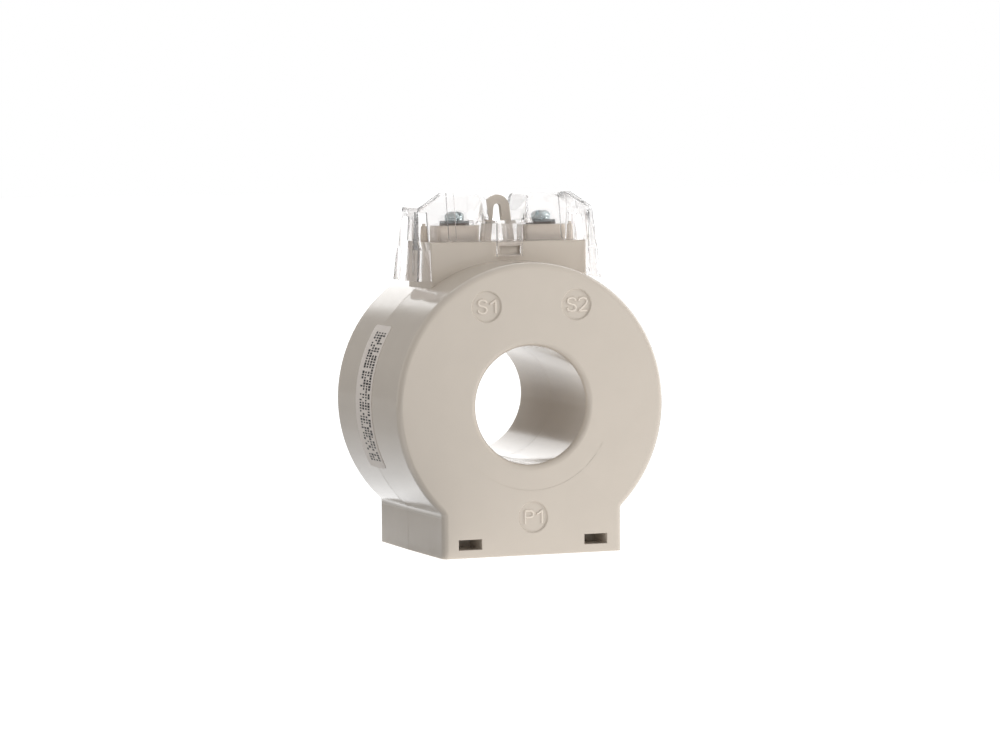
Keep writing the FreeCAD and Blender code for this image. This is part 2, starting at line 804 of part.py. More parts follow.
def make_screw(side, tag):
    """Turned screw with a slot and a cross in its head."""
    middle = side * terminal_place
    head = sized("head_radius")
    shank = sized("screw_radius")
    tip = washer_top - sized("screw_length")
    bevel = sized("screw_tip")
    body = new_body("screw_body_" + tag)
    profile = new_sketch(body, "screw_profile_" + tag, "front")
    add_polygon(profile, [(0, tip), (shank - bevel, tip), (shank, tip + bevel), (shank, washer_top),
                          (head, washer_top), (head, head_top), (0, head_top)])
    add_turning(body, profile, "V_Axis")
    add_dressing(body, "Fillet",
                 lambda e: abs(e.BoundBox.ZMin - float(head_top)) < 0.01 and e.BoundBox.XLength > float(head),
                 "Radius", sized("head_round"))
    slot = new_sketch(body, "screw_slot_" + tag, "top", head_top)
    half = sized("slot_width") / 2
    add_rectangle(slot, -head - 1, head + 1, -half, half)
    add_pocket(body, slot, sized("slot_depth"))
    cross = new_sketch(body, "screw_cross_" + tag, "top", head_top)
    reach = sized("cross_length") / 2
    add_rectangle(cross, -half, half, -reach, reach)
    add_pocket(body, cross, sized("slot_depth"))
    set_size(body, "Placement.Base.x", middle)
    return labelled(body, "terminal_screw_" + tag)


# Core and winding, all turned about the ring's axis

winding_inner = tube_radius + sized("tube_gap") + sized("tape_thick")
cup_inner = winding_inner + sized("winding_thick")
core_inner = cup_inner + sized("cup_wall") + sized("core_gap")
tape_radius = cavity_radius - sized("tape_gap")
winding_outer = tape_radius - sized("tape_thick")
cup_outer = winding_outer - sized("winding_thick")
core_outer = cup_outer - sized("cup_wall") - sized("core_gap")
tape_half = (sized("front_depth") + sized("rear_depth")) / 2 - wall - sized("seat_thick")
winding_half = tape_half - sized("tape_thick")
cup_half = winding_half - sized("winding_thick")
core_half = cup_half - sized("cup_wall") - sized("core_gap")
pack_middle = (front_face + rear_face) / 2


def ring_body(name, label, profiles):
    """A ring turned about the Y axis, from closed outlines of (radius, y) points."""
    body = new_body(name)
    for number, points in enumerate(profiles):
        sketch = new_sketch(body, "%s_profile%d" % (name, number), "top")
        add_polygon(sketch, points)
        add_turning(body, sketch, "V_Axis")
    set_size(body, "Placement.Base.y", pack_middle)
    set_size(body, "Placement.Base.z", ring_height)
    return labelled(body, label)


def make_core():
    half = core_half
    return ring_body("core_ring", "core",
                     [[(core_inner, -half), (core_outer, -half), (core_outer, half), (core_inner, half)]])


def make_cup(side, tag):
    """Insulating cup: a channel that takes half of the core."""
    skin = sized("cup_wall")
    end = side * cup_half
    floor = side * (cup_half - skin)
    return ring_body("cup_" + tag, "core_cup_" + tag,
                     [[(cup_inner, 0), (cup_inner + skin, 0), (cup_inner + skin, floor),
                       (cup_outer - skin, floor), (cup_outer - skin, 0), (cup_outer, 0),
                       (cup_outer, end), (cup_inner, end)]])


def wrap_ring(name, label, outer, inner, half, skin):
    """A closed skin round the ring: outside section less the one it wraps."""
    solid = ring_body(name + "_outside", name + "_outside",
                      [[(inner, -half), (outer, -half), (outer, half), (inner, half)]])
    core = ring_body(name + "_inside", name + "_inside",
                     [[(inner + skin, skin - half), (outer - skin, skin - half),
                       (outer - skin, half - skin), (inner + skin, half - skin)]])
    doc.recompute()
    return labelled(cut(name + "_wrap", solid, core), label)


def make_windings():
    winding = wrap_ring("winding", "secondary_winding", winding_outer, winding_inner,
                        winding_half, sized("winding_thick"))
    wrap = wrap_ring("tape", "whole_tape", tape_radius, winding_inner - sized("tape_thick"),
                     tape_half, sized("tape_thick"))
    holes = []
    for side, tag in ((-1, "s1"), (1, "s2")):
        place = (side * sized("lead_place"), sized("strip_deep") / 2 + sized("lead_radius"),
                 ring_height + cup_outer)
        holes.append(new_cylinder("tape_hole_" + tag, sized("lead_radius"), 2 * sized("winding_thick") + 2,
                                  place))
    tape = cut("tape_with_holes", wrap, joined("tape_holes", holes))
    return [winding, labelled(tape, "winding_tape")]


def make_seat(side, tag):
    """Soft ring between the taped winding and a shell's end wall."""
    near = side * tape_half
    far = side * (tape_half + sized("seat_thick"))
    inner = tube_radius + sized("tube_gap")
    return ring_body("seat_" + tag, "seat_ring_" + tag,
                     [[(inner, near), (cavity_radius, near), (cavity_radius, far), (inner, far)]])


# Leads from the winding to the strips

def lead_path(points, radii):
    """Straight runs joined by tangent arcs, one radius for each inner point."""
    edges = []
    start = points[0]
    for before, corner, after, radius in zip(points, points[1:], points[2:], radii):
        a = (before - corner).normalize()
        b = (after - corner).normalize()
        half_turn = (math.pi - a.getAngle(b)) / 2
        back = radius * math.tan(half_turn)
        first = corner + a * back
        last = corner + b * back
        bisector = (a + b).normalize()
        middle = corner + bisector * (radius / math.cos(half_turn) - radius)
        edges.append(Part.LineSegment(start, first).toShape())
        edges.append(Part.Arc(first, middle, last).toShape())
        start = last
    edges.append(Part.LineSegment(start, points[-1]).toShape())
    return Part.Wire(edges)


def lead_points(side):
    """Up from the winding, outwards and up along the rear of the strip's leg."""
    y = float(sized("strip_deep") / 2 + sized("lead_radius"))
    across = float(sized("lead_place"))
    foot = float(ring_height) + math.sqrt(float(tape_radius) ** 2 - across ** 2)
    bend = foot + float(sized("lead_rise")) - 1.5
    strip_end = float(strip_top - sized("strip_leg_drop"))
    x_end = float(terminal_place)
    return [Vector(side * across, y, foot - 2), Vector(side * across, y, bend),
            Vector(side * x_end, y, strip_end + 0.4), Vector(side * x_end, y, strip_end + 4)]


def tube_along(wire, radius):
    start = wire.OrderedEdges[0]
    point = start.valueAt(start.FirstParameter)
    direction = start.tangentAt(start.FirstParameter)
    disc = Part.Wire(Part.makeCircle(radius, point, direction))
    return wire.makePipeShell([disc], True, False)


def make_lead(side, tag):
    """Lead from the winding's outside to the strip."""
    bend = float(sized("lead_bend"))
    tube = tube_along(lead_path(lead_points(side), [bend, bend]), float(sized("lead_radius")))
    low = Vector(0, -float(tape_half), float(ring_height))
    coil = Part.makeCylinder(float(winding_outer), 2 * float(tape_half), low, Vector(0, 1, 0))
    lead = doc.addObject("Part::Feature", "lead_solid_" + tag)
    lead.Shape = tube.cut(coil)
    return labelled(lead, "lead_" + tag)


def make_sleeve(side, tag):
    """Insulating sleeve on the lead's long run."""
    points = lead_points(side)
    direction = (points[2] - points[1]).normalize()
    length = float(sized("sleeve_length"))
    outer_radius = float(sized("lead_radius") + sized("sleeve_thick"))
    start = (points[1] + points[2]) * 0.5 - direction * (length / 2)
    outer = Part.makeCylinder(outer_radius, length, start, direction)
    inner = Part.makeCylinder(float(sized("lead_radius")), length, start, direction)
    sleeve = doc.addObject("Part::Feature", "sleeve_solid_" + tag)
    sleeve.Shape = outer.cut(inner)
    return labelled(sleeve, "sleeve_" + tag)


# Side label

def make_label():
    """Thin sticker bent over the seam on the left of the ring."""
    half = sized("label_half")
    thick = sized("label_thick")
    drop = half * draft_slope
    body = new_body("label_body")
    sketch = new_sketch(body, "label_profile", "top")
    rear = parting + half
    front = parting - half
    edge_radius = ring_radius - drop
    add_polygon(sketch, [(-edge_radius, front), (-ring_radius, parting), (-edge_radius, rear),
                         (-(edge_radius + thick), rear), (-(ring_radius + thick), parting),
                         (-(edge_radius + thick), front)])
    turned = add_turning(body, sketch, "V_Axis", sized("label_rise") + sized("label_fall"))
    turned.Reversed = False
    body.Placement = Placement(Vector(0, 0, 0), Rotation(Vector(0, 1, 0), -SIZES["label_fall"]))
    set_size(body, "Placement.Base.z", ring_height)

    def corner(edge):
        return edge.Length < 2 * float(thick)

    add_dressing(body, "Fillet", corner, "Radius", sized("label_round"))
    return labelled(body, "side_label")


# Clear terminal cover

def profile_body(name, view, points, length):
    """A closed outline pushed out to both sides of its plane."""
    body = new_body(name)
    sketch = new_sketch(body, name + "_outline", view)
    add_polygon(sketch, points)
    pad = body.newObject("PartDesign::Pad", name + "_pad")
    pad.Profile = sketch
    set_size(pad, "Length", length)
    pad.SideType = "Symmetric"
    doc.recompute()
    return body


def cover_front_outline(inset, low):
    """Half outlines of the domes and skirts, mirrored about the middle, moved in by a wall."""
    top = cover_top - inset
    bridge = bridge_top - inset
    lean = sized("dome_lean")
    right = [(sized("bridge_half") + inset, bridge), (sized("bridge_half") + lean + inset, top),
             (roof_half - inset * 0.33, top), (eave_half - inset, eave_height - inset * 0.5),
             (skirt_half - inset, low)]
    left = [(-x, z) for x, z in reversed(right)]
    return left + right


def cover_side_outline(inset, low):
    top = cover_top - inset
    waist = tower_top + sized("cover_clear")
    right = [(roof_deep - inset, top), (waist_deep - inset, waist),
             (hip_deep - inset, waist - sized("hip_drop")), (rim_deep - inset, low)]
    left = [(-y, z) for y, z in reversed(right)]
    return left + right


def cover_block(name, inset, low, rounded):
    """The cover's outside, or its inside when it is inset by a wall."""
    length = 4 * skirt_half
    along = profile_body(name + "_along", "front", cover_front_outline(inset, low), length)
    across = profile_body(name + "_across", "side", cover_side_outline(inset, low), length)
    block = shared(name + "_block", [along, across])
    middle = float(sized("bridge_half"))
    roof = float(cover_top - inset)

    def upright_corner(edge):
        box = edge.BoundBox
        at_end = min(abs(box.XMin), abs(box.XMax)) > float(roof_half)
        at_side = min(abs(box.YMin), abs(box.YMax)) > float(roof_deep) - 2
        return at_end and at_side and box.ZLength > 1 and box.XLength < 4

    def dome_corner(edge):
        box = edge.BoundBox
        inner = abs(min(abs(box.XMin), abs(box.XMax)) - middle - float(sized("dome_lean"))) < 2
        return inner and box.XLength < 0.01 and box.ZLength < 0.01 and abs(box.ZMin - roof) < 0.01

    def eave(edge):
        box = edge.BoundBox
        low_enough = abs(box.ZMax - float(eave_height)) < 1.5
        return low_enough and box.XLength < 0.01 and box.ZLength < 0.01 and abs(box.XMin) > float(roof_half)

    if not rounded:
        return block
    domes = doc.addObject("Part::Fillet", name + "_domes")
    domes.Base = block
    shape = block.Shape
    radius = float(sized("dome_round")) - float(inset)
    corner = float(sized("corner_round")) - float(inset) * 0.5
    edges = [(int(n[4:]), radius, radius) for n in edge_names(shape, dome_corner)]
    edges += [(int(n[4:]), corner, corner) for n in edge_names(shape, eave)]
    domes.Edges = edges
    doc.recompute()
    uprights = doc.addObject("Part::Fillet", name + "_uprights")
    uprights.Base = domes
    uprights.Edges = [(int(n[4:]), corner, corner) for n in edge_names(domes.Shape, upright_corner)]
    doc.recompute()
    return uprights


def mirrored_boxes(name, low, high):
    """The box, and its copies across X and Y."""
    boxes = []
    for sx in (-1, 1):
        for sy in (-1, 1):
            xs = sorted((sx * as_size(low[0]), sx * as_size(high[0])), key=float)
            ys = sorted((sy * as_size(low[1]), sy * as_size(high[1])), key=float)
            boxes.append(new_box("%s_%d_%d" % (name, sx + 1, sy + 1), (xs[0], ys[0], low[2]),
                                 (xs[1], ys[1], high[2])))
    return boxes


def make_cover():
    clear = sized("cover_wall")
    skin = as_size(0)
    rim = rim_height
    waist = tower_top + sized("cover_clear")
    outside = cover_block("cover_outside", skin, rim, True)
    inside = cover_block("cover_inside", clear, rim, True)
    far = 2 * skirt_half

    bead_shell = cover_block("bead_skin", -sized("bead_stand"), rim, False)
    beads = []
    turn = Rotation(Vector(1, 0, 0), 90)
    for sx in (-1, 1):
        middle = sx * sized("bead_place")
        half = sized("bead_half")
        tag = "left" if sx < 0 else "right"
        centre = bead_floor + half
        bar = new_box("bead_bar_" + tag, (middle - half, -far, centre),
                      (middle + half, 0, cover_top - 0.01))
        foot = new_cylinder("bead_foot_" + tag, half, far, (middle, 0, centre), turn)
        beads.append(joined("bead_" + tag, [bar, foot]))
    bead_pair = shared("beads", [joined("bead_bars", beads), bead_shell])

    bridge_gap = sized("flap_gap")
    flap_in = sized("tower_deep") + bridge_gap
    flap_out = flap_in + clear
    flap_half = sized("flap_half")
    bridge = new_box("bridge_plate", (-flap_half, -flap_out, bridge_top - clear),
                     (flap_half, flap_out, bridge_top))
    flaps = []
    for sy in (-1, 1):
        ys = sorted((sy * flap_in, sy * flap_out), key=float)
        flaps.append(new_box("flap_%d" % (sy + 1), (-flap_half, ys[0], flap_floor),
                             (flap_half, ys[1], bridge_top)))

    outer = joined("cover_outer", [outside, bead_pair])
    hollow = cut("cover_hollow", outer, inside)

    middle = as_size(0)
    trims = mirrored_boxes("cover_trim", (middle, middle, rim - clear),
                           (skirt_inset, far, waist))
    windows = mirrored_boxes("cable_window", (skirt_inset, sized("boss_deep"), sill_height),
                             (window_outer, far, window_top))
    end_slots = []
    slot_round = sized("end_slot_round")
    for sx in (-1, 1):
        tag = "left" if sx < 0 else "right"
        xs = sorted((sx * roof_half, sx * far), key=float)
        front = sized("end_slot_front")
        rear = sized("end_slot_rear")
        top = end_slot_top
        lower = new_box("end_slot_low_" + tag, (xs[0], front, rim - clear), (xs[1], rear, top - slot_round))
        upper = new_box("end_slot_up_" + tag, (xs[0], front + slot_round, rim),
                        (xs[1], rear - slot_round, top))
        roll = Rotation(Vector(0, 1, 0), 90)
        rounds = []
        for number, y in enumerate((front + slot_round, rear - slot_round)):
            rounds.append(new_cylinder("end_slot_round_%s%d" % (tag, number), slot_round,
                                       xs[1] - xs[0], (xs[0], y, top - slot_round), roll))
        end_slots.append(joined("end_slot_" + tag, [lower, upper] + rounds))

    gap = sized("eye_slot_gap")
    eye_slot = new_box("eye_slot", (-sized("eye_foot_half") - gap, parting - sized("eye_thick") - gap, waist),
                       (sized("eye_foot_half") + gap, parting + gap, cover_top + 1))
    flap_window = new_box("flap_window", (-sized("flap_window_half"), -far, flap_window_floor),
                          (sized("flap_window_half"), 0, flap_window_floor + sized("flap_window_height")))

    trimmed = cut("cover_trimmed", hollow, joined("cover_trims", trims + windows + end_slots))
    with_flaps = joined("cover_with_flaps", [trimmed, bridge] + flaps)

    gussets = []
    for sx in (-1, 1):
        tag = "left" if sx < 0 else "right"
        body = new_body("gusset_" + tag)
        sketch = new_sketch(body, "gusset_outline_" + tag, "front", roof_deep - 2)
        foot = bridge_top - clear
        low_x = sx * (sized("bridge_half") + 0.5)
        high_x = sx * (sized("gusset_place") + 2 * sized("gusset_half"))
        add_polygon(sketch, [(low_x, foot), (high_x, foot), (low_x, foot + sized("gusset_height"))])
        add_pad(body, sketch, sized("gusset_thick"))
        gussets.append(body)

    tongues = []
    for sx in (-1, 1):
        tag = "left" if sx < 0 else "right"
        near = tower_half - sized("tongue_reach")
        outer_x = eave_half - 0.5 * clear
        xs = sorted((sx * near, sx * outer_x), key=float)
        y_low = parting + (sized("groove_width") - sized("tongue_thick")) / 2
        rib = new_box("tongue_" + tag, (xs[0], y_low, end_slot_top - 0.2),
                      (xs[1], y_low + sized("tongue_thick"), eave_height - 0.5 * clear))
        blade = new_box("tongue_blade_" + tag, sorted_corner(sx, near, near + clear, y_low,
                                                             groove_floor + sized("tongue_lift"))[0],
                        sorted_corner(sx, near, near + clear, y_low + sized("tongue_thick"),
                                      eave_height - clear)[1])
        tongues += [rib, blade]

    whole = joined("cover_whole", [with_flaps] + gussets + tongues)
    finished = cut("cover_finished", whole, joined("cover_last_cuts", [eye_slot, flap_window]))
    return labelled(finished, "terminal_cover")


def sorted_corner(sx, a, b, y, z):
    xs = sorted((sx * a, sx * b), key=float)
    return (xs[0], y, z), (xs[1], y, z)


def main():
    pieces = make_shells()
    pieces.append(make_label())
    pieces.append(make_cover())
    for side, tag in ((-1, "s1"), (1, "s2")):
        pieces.append(make_nut(side, tag))
        pieces.append(make_strip(side, tag))
        pieces.append(make_plate(side, tag))
        pieces.append(make_washer(side, tag))
        pieces.append(make_screw(side, tag))
        pieces.append(make_lead(side, tag))
        pieces.append(make_sleeve(side, tag))
    pieces.append(make_core())
    pieces.append(make_cup(-1, "front"))
    pieces.append(make_cup(1, "rear"))
    pieces += make_windings()
    pieces.append(make_seat(-1, "front"))
    pieces.append(make_seat(1, "rear"))
    doc.recompute()
    return pieces


def check(pieces):
    """Stop before anything is written if an object failed or a solid is bad."""
    for thing in doc.Objects:
        if "Invalid" in thing.State or "Error" in thing.State:
            raise RuntimeError("failed object: %s %s" % (thing.Name, thing.State))
    for piece in pieces:
        shape = piece.Shape
        if shape.isNull() or not shape.isValid() or not shape.Solids:
            raise RuntimeError("bad shape: " + piece.Label)


def write(pieces):
    os.makedirs("parts", exist_ok=True)
    for piece in pieces:
        piece.Shape.exportStep("parts/%s.step" % piece.Label)
        box = piece.Shape.BoundBox
        print("%-20s solids %d volume %9.1f  x %.2f %.2f  y %.2f %.2f  z %.2f %.2f" % (
            piece.Label, len(piece.Shape.Solids), piece.Shape.Volume,
            box.XMin, box.XMax, box.YMin, box.YMax, box.ZMin, box.ZMax))


PIECES = main()
check(PIECES)
write(PIECES)
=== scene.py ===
"""Looks of the ring-type current transformer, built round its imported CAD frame.

The origin is under the middle of the foot, -Y is the front and the ring's axis runs along Y.
The object's sizes are in millimetres, and MM turns them into metres. The studio's are in metres.
"""
import bpy
import bmesh
import math
from mathutils import Matrix, Vector


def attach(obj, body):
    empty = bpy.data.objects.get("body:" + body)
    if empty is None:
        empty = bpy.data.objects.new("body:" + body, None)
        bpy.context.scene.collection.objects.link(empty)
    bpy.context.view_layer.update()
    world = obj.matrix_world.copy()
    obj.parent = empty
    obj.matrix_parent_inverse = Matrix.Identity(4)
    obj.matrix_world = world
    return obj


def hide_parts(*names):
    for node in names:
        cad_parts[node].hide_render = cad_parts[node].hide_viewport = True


MM = 0.001
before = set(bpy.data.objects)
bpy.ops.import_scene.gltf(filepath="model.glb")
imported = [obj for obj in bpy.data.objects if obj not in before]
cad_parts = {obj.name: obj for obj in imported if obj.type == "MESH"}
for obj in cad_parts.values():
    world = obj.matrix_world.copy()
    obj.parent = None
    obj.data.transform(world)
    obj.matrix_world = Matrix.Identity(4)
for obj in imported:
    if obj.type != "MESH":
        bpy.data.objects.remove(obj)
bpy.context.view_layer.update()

# Places and sizes shared with the CAD; a screw's are for rest
RING_HEIGHT = 53.0
RING_RADIUS = 50.8
WINDOW_RADIUS = 21.0
FRONT_FACE = -33.0
PARTING = 2.0                  # the seam of the two shells, along Y
CAD_MARK_RADIUS = 5.9
MARK_FLOOR = FRONT_FACE + 0.4
MARKS = {"S1": (-17.0, 88.2), "S2": (17.0, 88.2), "P1": (0.0, 13.5)}
WITNESS_RADIUS = 29.6          # moulding ring round the window
TERMINALS = {"s1": -16.6, "s2": 16.6}
WASHER_TOP = 118.3
HEAD_TOP = 120.8
HEAD_RADIUS = 3.5
SCREW_TIP = 106.8

WHITE = (1.0, 1.0, 1.0, 1.0)


# Short calls for nodes

class Nodes:
    """The nodes of one tree."""

    def __init__(self, tree):
        self.tree = tree

    def give(self, node, inputs):
        """Set a node's inputs, each to a value or to what another node puts out."""
        for key, value in inputs.items():
            if isinstance(value, bpy.types.NodeSocket):
                self.tree.links.new(value, node.inputs[key])
            else:
                node.inputs[key].default_value = value

    def add(self, kind, inputs=None, **settings):
        node = self.tree.nodes.new(kind)
        for key, value in settings.items():
            setattr(node, key, value)
        self.give(node, inputs or {})
        return node

    def math(self, operation, *terms):
        return self.add("ShaderNodeMath", dict(enumerate(terms)), operation=operation).outputs[0]

    def span(self, value, start, end, to_start=0.0, to_end=1.0):
        """Where a value lies between start and end, as a number from to_start to to_end."""
        node = self.add("ShaderNodeMapRange", {"Value": value, "From Min": start, "From Max": end,
                                               "To Min": to_start, "To Max": to_end})
        return node.outputs["Result"]

    def along(self, place, direction):
        """How far a place lies along a direction."""
        node = self.add("ShaderNodeVectorMath", {0: place, 1: direction}, operation="DOT_PRODUCT")
        return node.outputs["Value"]

    def mix(self, share, first, second):
        """Two shaders by the second one's share."""
        return self.add("ShaderNodeMixShader", {0: share, 1: first, 2: second}).outputs["Shader"]


class Recipe(Nodes):
    """One material: its main shader and the patterns that most finishes share."""

    def __init__(self, name):
        self.material = bpy.data.materials.new(name)
        self.material.use_nodes = True
        super().__init__(self.material.node_tree)
        self.tree.nodes.clear()
        self.shader = self.add("ShaderNodeBsdfPrincipled")
        self.output = self.add("ShaderNodeOutputMaterial", {"Surface": self.shader.outputs["BSDF"]})
        self.place = self.add("ShaderNodeTexCoord").outputs["Object"]

    def noise(self, scale, detail=2.0):
        node = self.add("ShaderNodeTexNoise",
                        {"Vector": self.place, "Scale": scale, "Detail": detail})
        return node.outputs["Fac"]

    def ramp(self, source, stops):
        """Colours or greys at positions from 0 to 1."""
        ramp = self.add("ShaderNodeValToRGB", {"Fac": source})
        elements = ramp.color_ramp.elements
        elements[0].position, elements[0].color = stops[0]
        elements[1].position, elements[1].color = stops[-1]
        for position, colour in stops[1:-1]:
            elements.new(position).color = colour
        return ramp.outputs["Color"]

    def bump(self, source, distance):
        node = self.add("ShaderNodeBump", {"Height": source, "Distance": distance})
        return node.outputs["Normal"]

    def finish(self, **inputs):
        """Set the main shader's inputs, written with _ for a space, and hand the material over."""
        self.give(self.shader, {key.replace("_", " "): value for key, value in inputs.items()})
        return self.material


def grey(value):
    return (value, value, value, 1.0)


def tinted(colour, factor):
    return tuple(c * factor for c in colour) + (1.0,)


# Materials; a pattern's scale is per metre, and a bump's height in metres

FLOW_SCALE = 90.0              # slow mottling of moulded plastic
SHEEN_SCALE = 260.0            # its uneven gloss
GRAIN_SCALE = 2600.0           # its eroded grain
SHEEN_SPREAD = 0.03
PLASTIC_IOR = 1.5

MATT_BELOW = (14.9, 13.9)      # the foot's matt finish fades in over these heights
MATT_BEYOND = (33.0, 34.1)     # and over these distances from the middle

DUST_SCALE = 900.0
CLEAR_TINT = (1.0, 0.992, 0.988, 1.0)
CLEAR_SHADOW = (0.7, 0.69, 0.685, 1.0)
SEEN_STRAIGHT = 0.1            # share of the clear cover that doesn't bend the light

BLOTCH_SCALE = 900.0
TUMBLING_SCALE = 4200.0
LAYER_SCALE = 420.0
LAYER_RELIEF = 0.00006
WEAVE_SCALE = 700.0
WEAVE_RELIEF = 0.00003
CELL_SCALE = 900.0
CELL_RELIEF = 0.0003


def matt_sides(r, sheen, rougher):
    """The foot's two sides are matt, up to where the ring begins."""
    place = r.add("ShaderNodeSeparateXYZ", {"Vector": r.place})
    low = r.span(place.outputs["Z"], *(height * MM for height in MATT_BELOW), 0.0, rougher)
    outer = r.span(r.math("ABSOLUTE", place.outputs["X"]), *(reach * MM for reach in MATT_BEYOND))
    return r.math("MULTIPLY_ADD", low, outer, sheen)


def moulded_plastic(name, colour, rough, spread, grain, rougher_foot=0.0):
    """Opaque moulded plastic: slight flow mottling, a fine eroded grain and uneven gloss."""
    r = Recipe(name)
    tone = r.ramp(r.noise(FLOW_SCALE),
                  [(0.3, tinted(colour, 1.0 - spread)), (0.7, tinted(colour, 1.0 + spread))])
    sheen = r.ramp(r.noise(SHEEN_SCALE),
                   [(0.3, grey(rough - SHEEN_SPREAD)), (0.7, grey(rough + SHEEN_SPREAD))])
    if rougher_foot:
        sheen = matt_sides(r, sheen, rougher_foot)
    return r.finish(Base_Color=tone, Roughness=sheen, IOR=PLASTIC_IOR,
                    Normal=r.bump(r.noise(GRAIN_SCALE), grain))


def clear_plastic(name):
    """Clear moulding with a trace of dust, partly seen straight through, with a pale shadow."""
    r = Recipe(name)
    dust = r.ramp(r.noise(DUST_SCALE), [(0.35, grey(0.0)), (0.75, grey(0.012))])
    material = r.finish(Base_Color=CLEAR_TINT, Roughness=dust, IOR=1.49, Transmission_Weight=1.0)
    straight = r.add("ShaderNodeBsdfTransparent").outputs["BSDF"]
    wall = r.mix(SEEN_STRAIGHT, r.shader.outputs["BSDF"], straight)
    dimmed = r.add("ShaderNodeBsdfTransparent", {"Color": CLEAR_SHADOW}).outputs["BSDF"]
    shadow_ray = r.add("ShaderNodeLightPath").outputs["Is Shadow Ray"]
    r.give(r.output, {"Surface": r.mix(shadow_ray, wall, dimmed)})
    return material


def plated_metal(name, colour, rough, scratch):
    """Plated or bare metal, a little blotchy, with fine tumbling marks."""
    r = Recipe(name)
    tone = r.ramp(r.noise(BLOTCH_SCALE, 3.0),
                  [(0.3, tinted(colour, 0.86)), (0.7, tinted(colour, 1.08))])
    marks = r.noise(TUMBLING_SCALE, 3.0)
    gloss = r.ramp(marks, [(0.3, grey(rough * 0.75)), (0.7, grey(rough * 1.35))])
    return r.finish(Base_Color=tone, Roughness=gloss, Metallic=1.0, Normal=r.bump(marks, scratch))


def layered_core(name):
    """Edges of the thin steel strip that the core is wound from, one ring a layer."""
    r = Recipe(name)
    centred = r.add("ShaderNodeMapping", {"Vector": r.place, "Location": (0, 0, -RING_HEIGHT * MM)})
    layers = r.add("ShaderNodeTexWave", {"Vector": centred.outputs["Vector"], "Scale": LAYER_SCALE,
                                         "Distortion": 0.3}, wave_type="RINGS", rings_direction="Y")
    edge = layers.outputs["Fac"]
    tone = r.ramp(edge, [(0.1, (0.16, 0.165, 0.17, 1)), (0.9, (0.42, 0.43, 0.44, 1))])
    return r.finish(Base_Color=tone, Metallic=0.9, Roughness=0.38,
                    Normal=r.bump(edge, LAYER_RELIEF))


def woven_tape(name):
    """Polyester tape: a fine diagonal weave under a dull varnish."""
    r = Recipe(name)
    weave = r.add("ShaderNodeTexWave", {"Vector": r.place, "Scale": WEAVE_SCALE, "Distortion": 1.5},
                  wave_type="BANDS", bands_direction="DIAGONAL").outputs["Fac"]
    tone = r.ramp(weave, [(0.2, (0.62, 0.5, 0.2, 1)), (0.8, (0.78, 0.66, 0.32, 1))])
    return r.finish(Base_Color=tone, Roughness=0.45, IOR=1.5, Normal=r.bump(weave, WEAVE_RELIEF))


def open_foam(name):
    """Dark grey foam with small cells."""
    r = Recipe(name)
    cells = r.add("ShaderNodeTexVoronoi", {"Vector": r.place, "Scale": CELL_SCALE})
    depth = cells.outputs["Distance"]
    # The cells are darker where they lie deepest: painted shade in the pits.
    tone = r.ramp(depth, [(0.0, (0.05, 0.05, 0.052, 1)), (0.7, (0.14, 0.14, 0.145, 1))])
    return r.finish(Base_Color=tone, Roughness=0.9, Normal=r.bump(depth, CELL_RELIEF))


# Plastics: colour, roughness, spread of the colour, height of the grain
HOUSING_PLASTIC = moulded_plastic("light grey housing", (0.612, 0.545, 0.469), 0.12, 0.012,
                                  0.000003, rougher_foot=0.32)
# The letters are the housing's plastic painted lighter: a painted highlight for the light that
# their raised strokes catch.
LETTER_PLASTIC_PAINTED_LIGHTER = moulded_plastic("raised letters", (0.78, 0.70, 0.61), 0.2, 0.01, 0.000003)
LABEL_STOCK = moulded_plastic("matt label stock", (0.72, 0.65, 0.59), 0.5, 0.015, 0.000004)
LABEL_INK = moulded_plastic("dark label print", (0.012, 0.011, 0.011), 0.6, 0.2, 0.000002)
CLEAR = clear_plastic("clear cover")
# Metals: colour, roughness, depth of the scratches
ZINC = plated_metal("blue zinc plating", (0.54, 0.63, 0.65), 0.14, 0.000006)
DARK_ZINC = plated_metal("dull zinc plate", (0.16, 0.17, 0.17), 0.4, 0.000006)
# The strip's brass is drawn very dark.
BRASS = plated_metal("tarnished brass strip", (0.085, 0.062, 0.05), 0.4, 0.000005)
COPPER = plated_metal("enamelled copper", (0.72, 0.28, 0.12), 0.28, 0.000003)
CORE_STEEL = layered_core("core layers")
TAPE = woven_tape("winding tape")
FOAM = open_foam("seat foam")
CUP_NYLON = moulded_plastic("cup nylon", (0.72, 0.70, 0.62), 0.4, 0.02, 0.00001)
SLEEVE_RUBBER = moulded_plastic("sleeve rubber", (0.035, 0.035, 0.04), 0.6, 0.1, 0.00002)


# Short calls for meshes

SAME_POINT = 2e-6              # metres
SLIVER = 1e-6
FLAT = math.radians(0.6)       # faces that meet at less are one flat face
EASED_FROM = math.radians(25)  # sharper edges are eased
BEVEL_SEGMENTS = 2
CREASE = 32.0                  # degrees; sharper corners stay sharp
RING_WALL = (49.9, 50.85)      # where the ring's outside lies, from the axis
WINDOW_WALL = (20.9, 21.7)
CONE_FACING = 0.97             # the least that a face of the two walls faces the axis
CONE_SLOPE = 0.05              # the most that it leans along the axis


def new_object(name, mesh):
    piece = bpy.data.objects.new(name, mesh)
    bpy.context.scene.collection.objects.link(piece)
    return piece


def plain_mesh(piece):
    """A piece as it looks, with its modifiers or its pen's thickness, as a mesh."""
    graph = bpy.context.evaluated_depsgraph_get()
    return bpy.data.meshes.new_from_object(piece.evaluated_get(graph))


def settle(piece):
    """Turn a piece's live modifiers into plain mesh."""
    mesh = plain_mesh(piece)
    piece.modifiers.clear()
    piece.data = mesh
    return piece


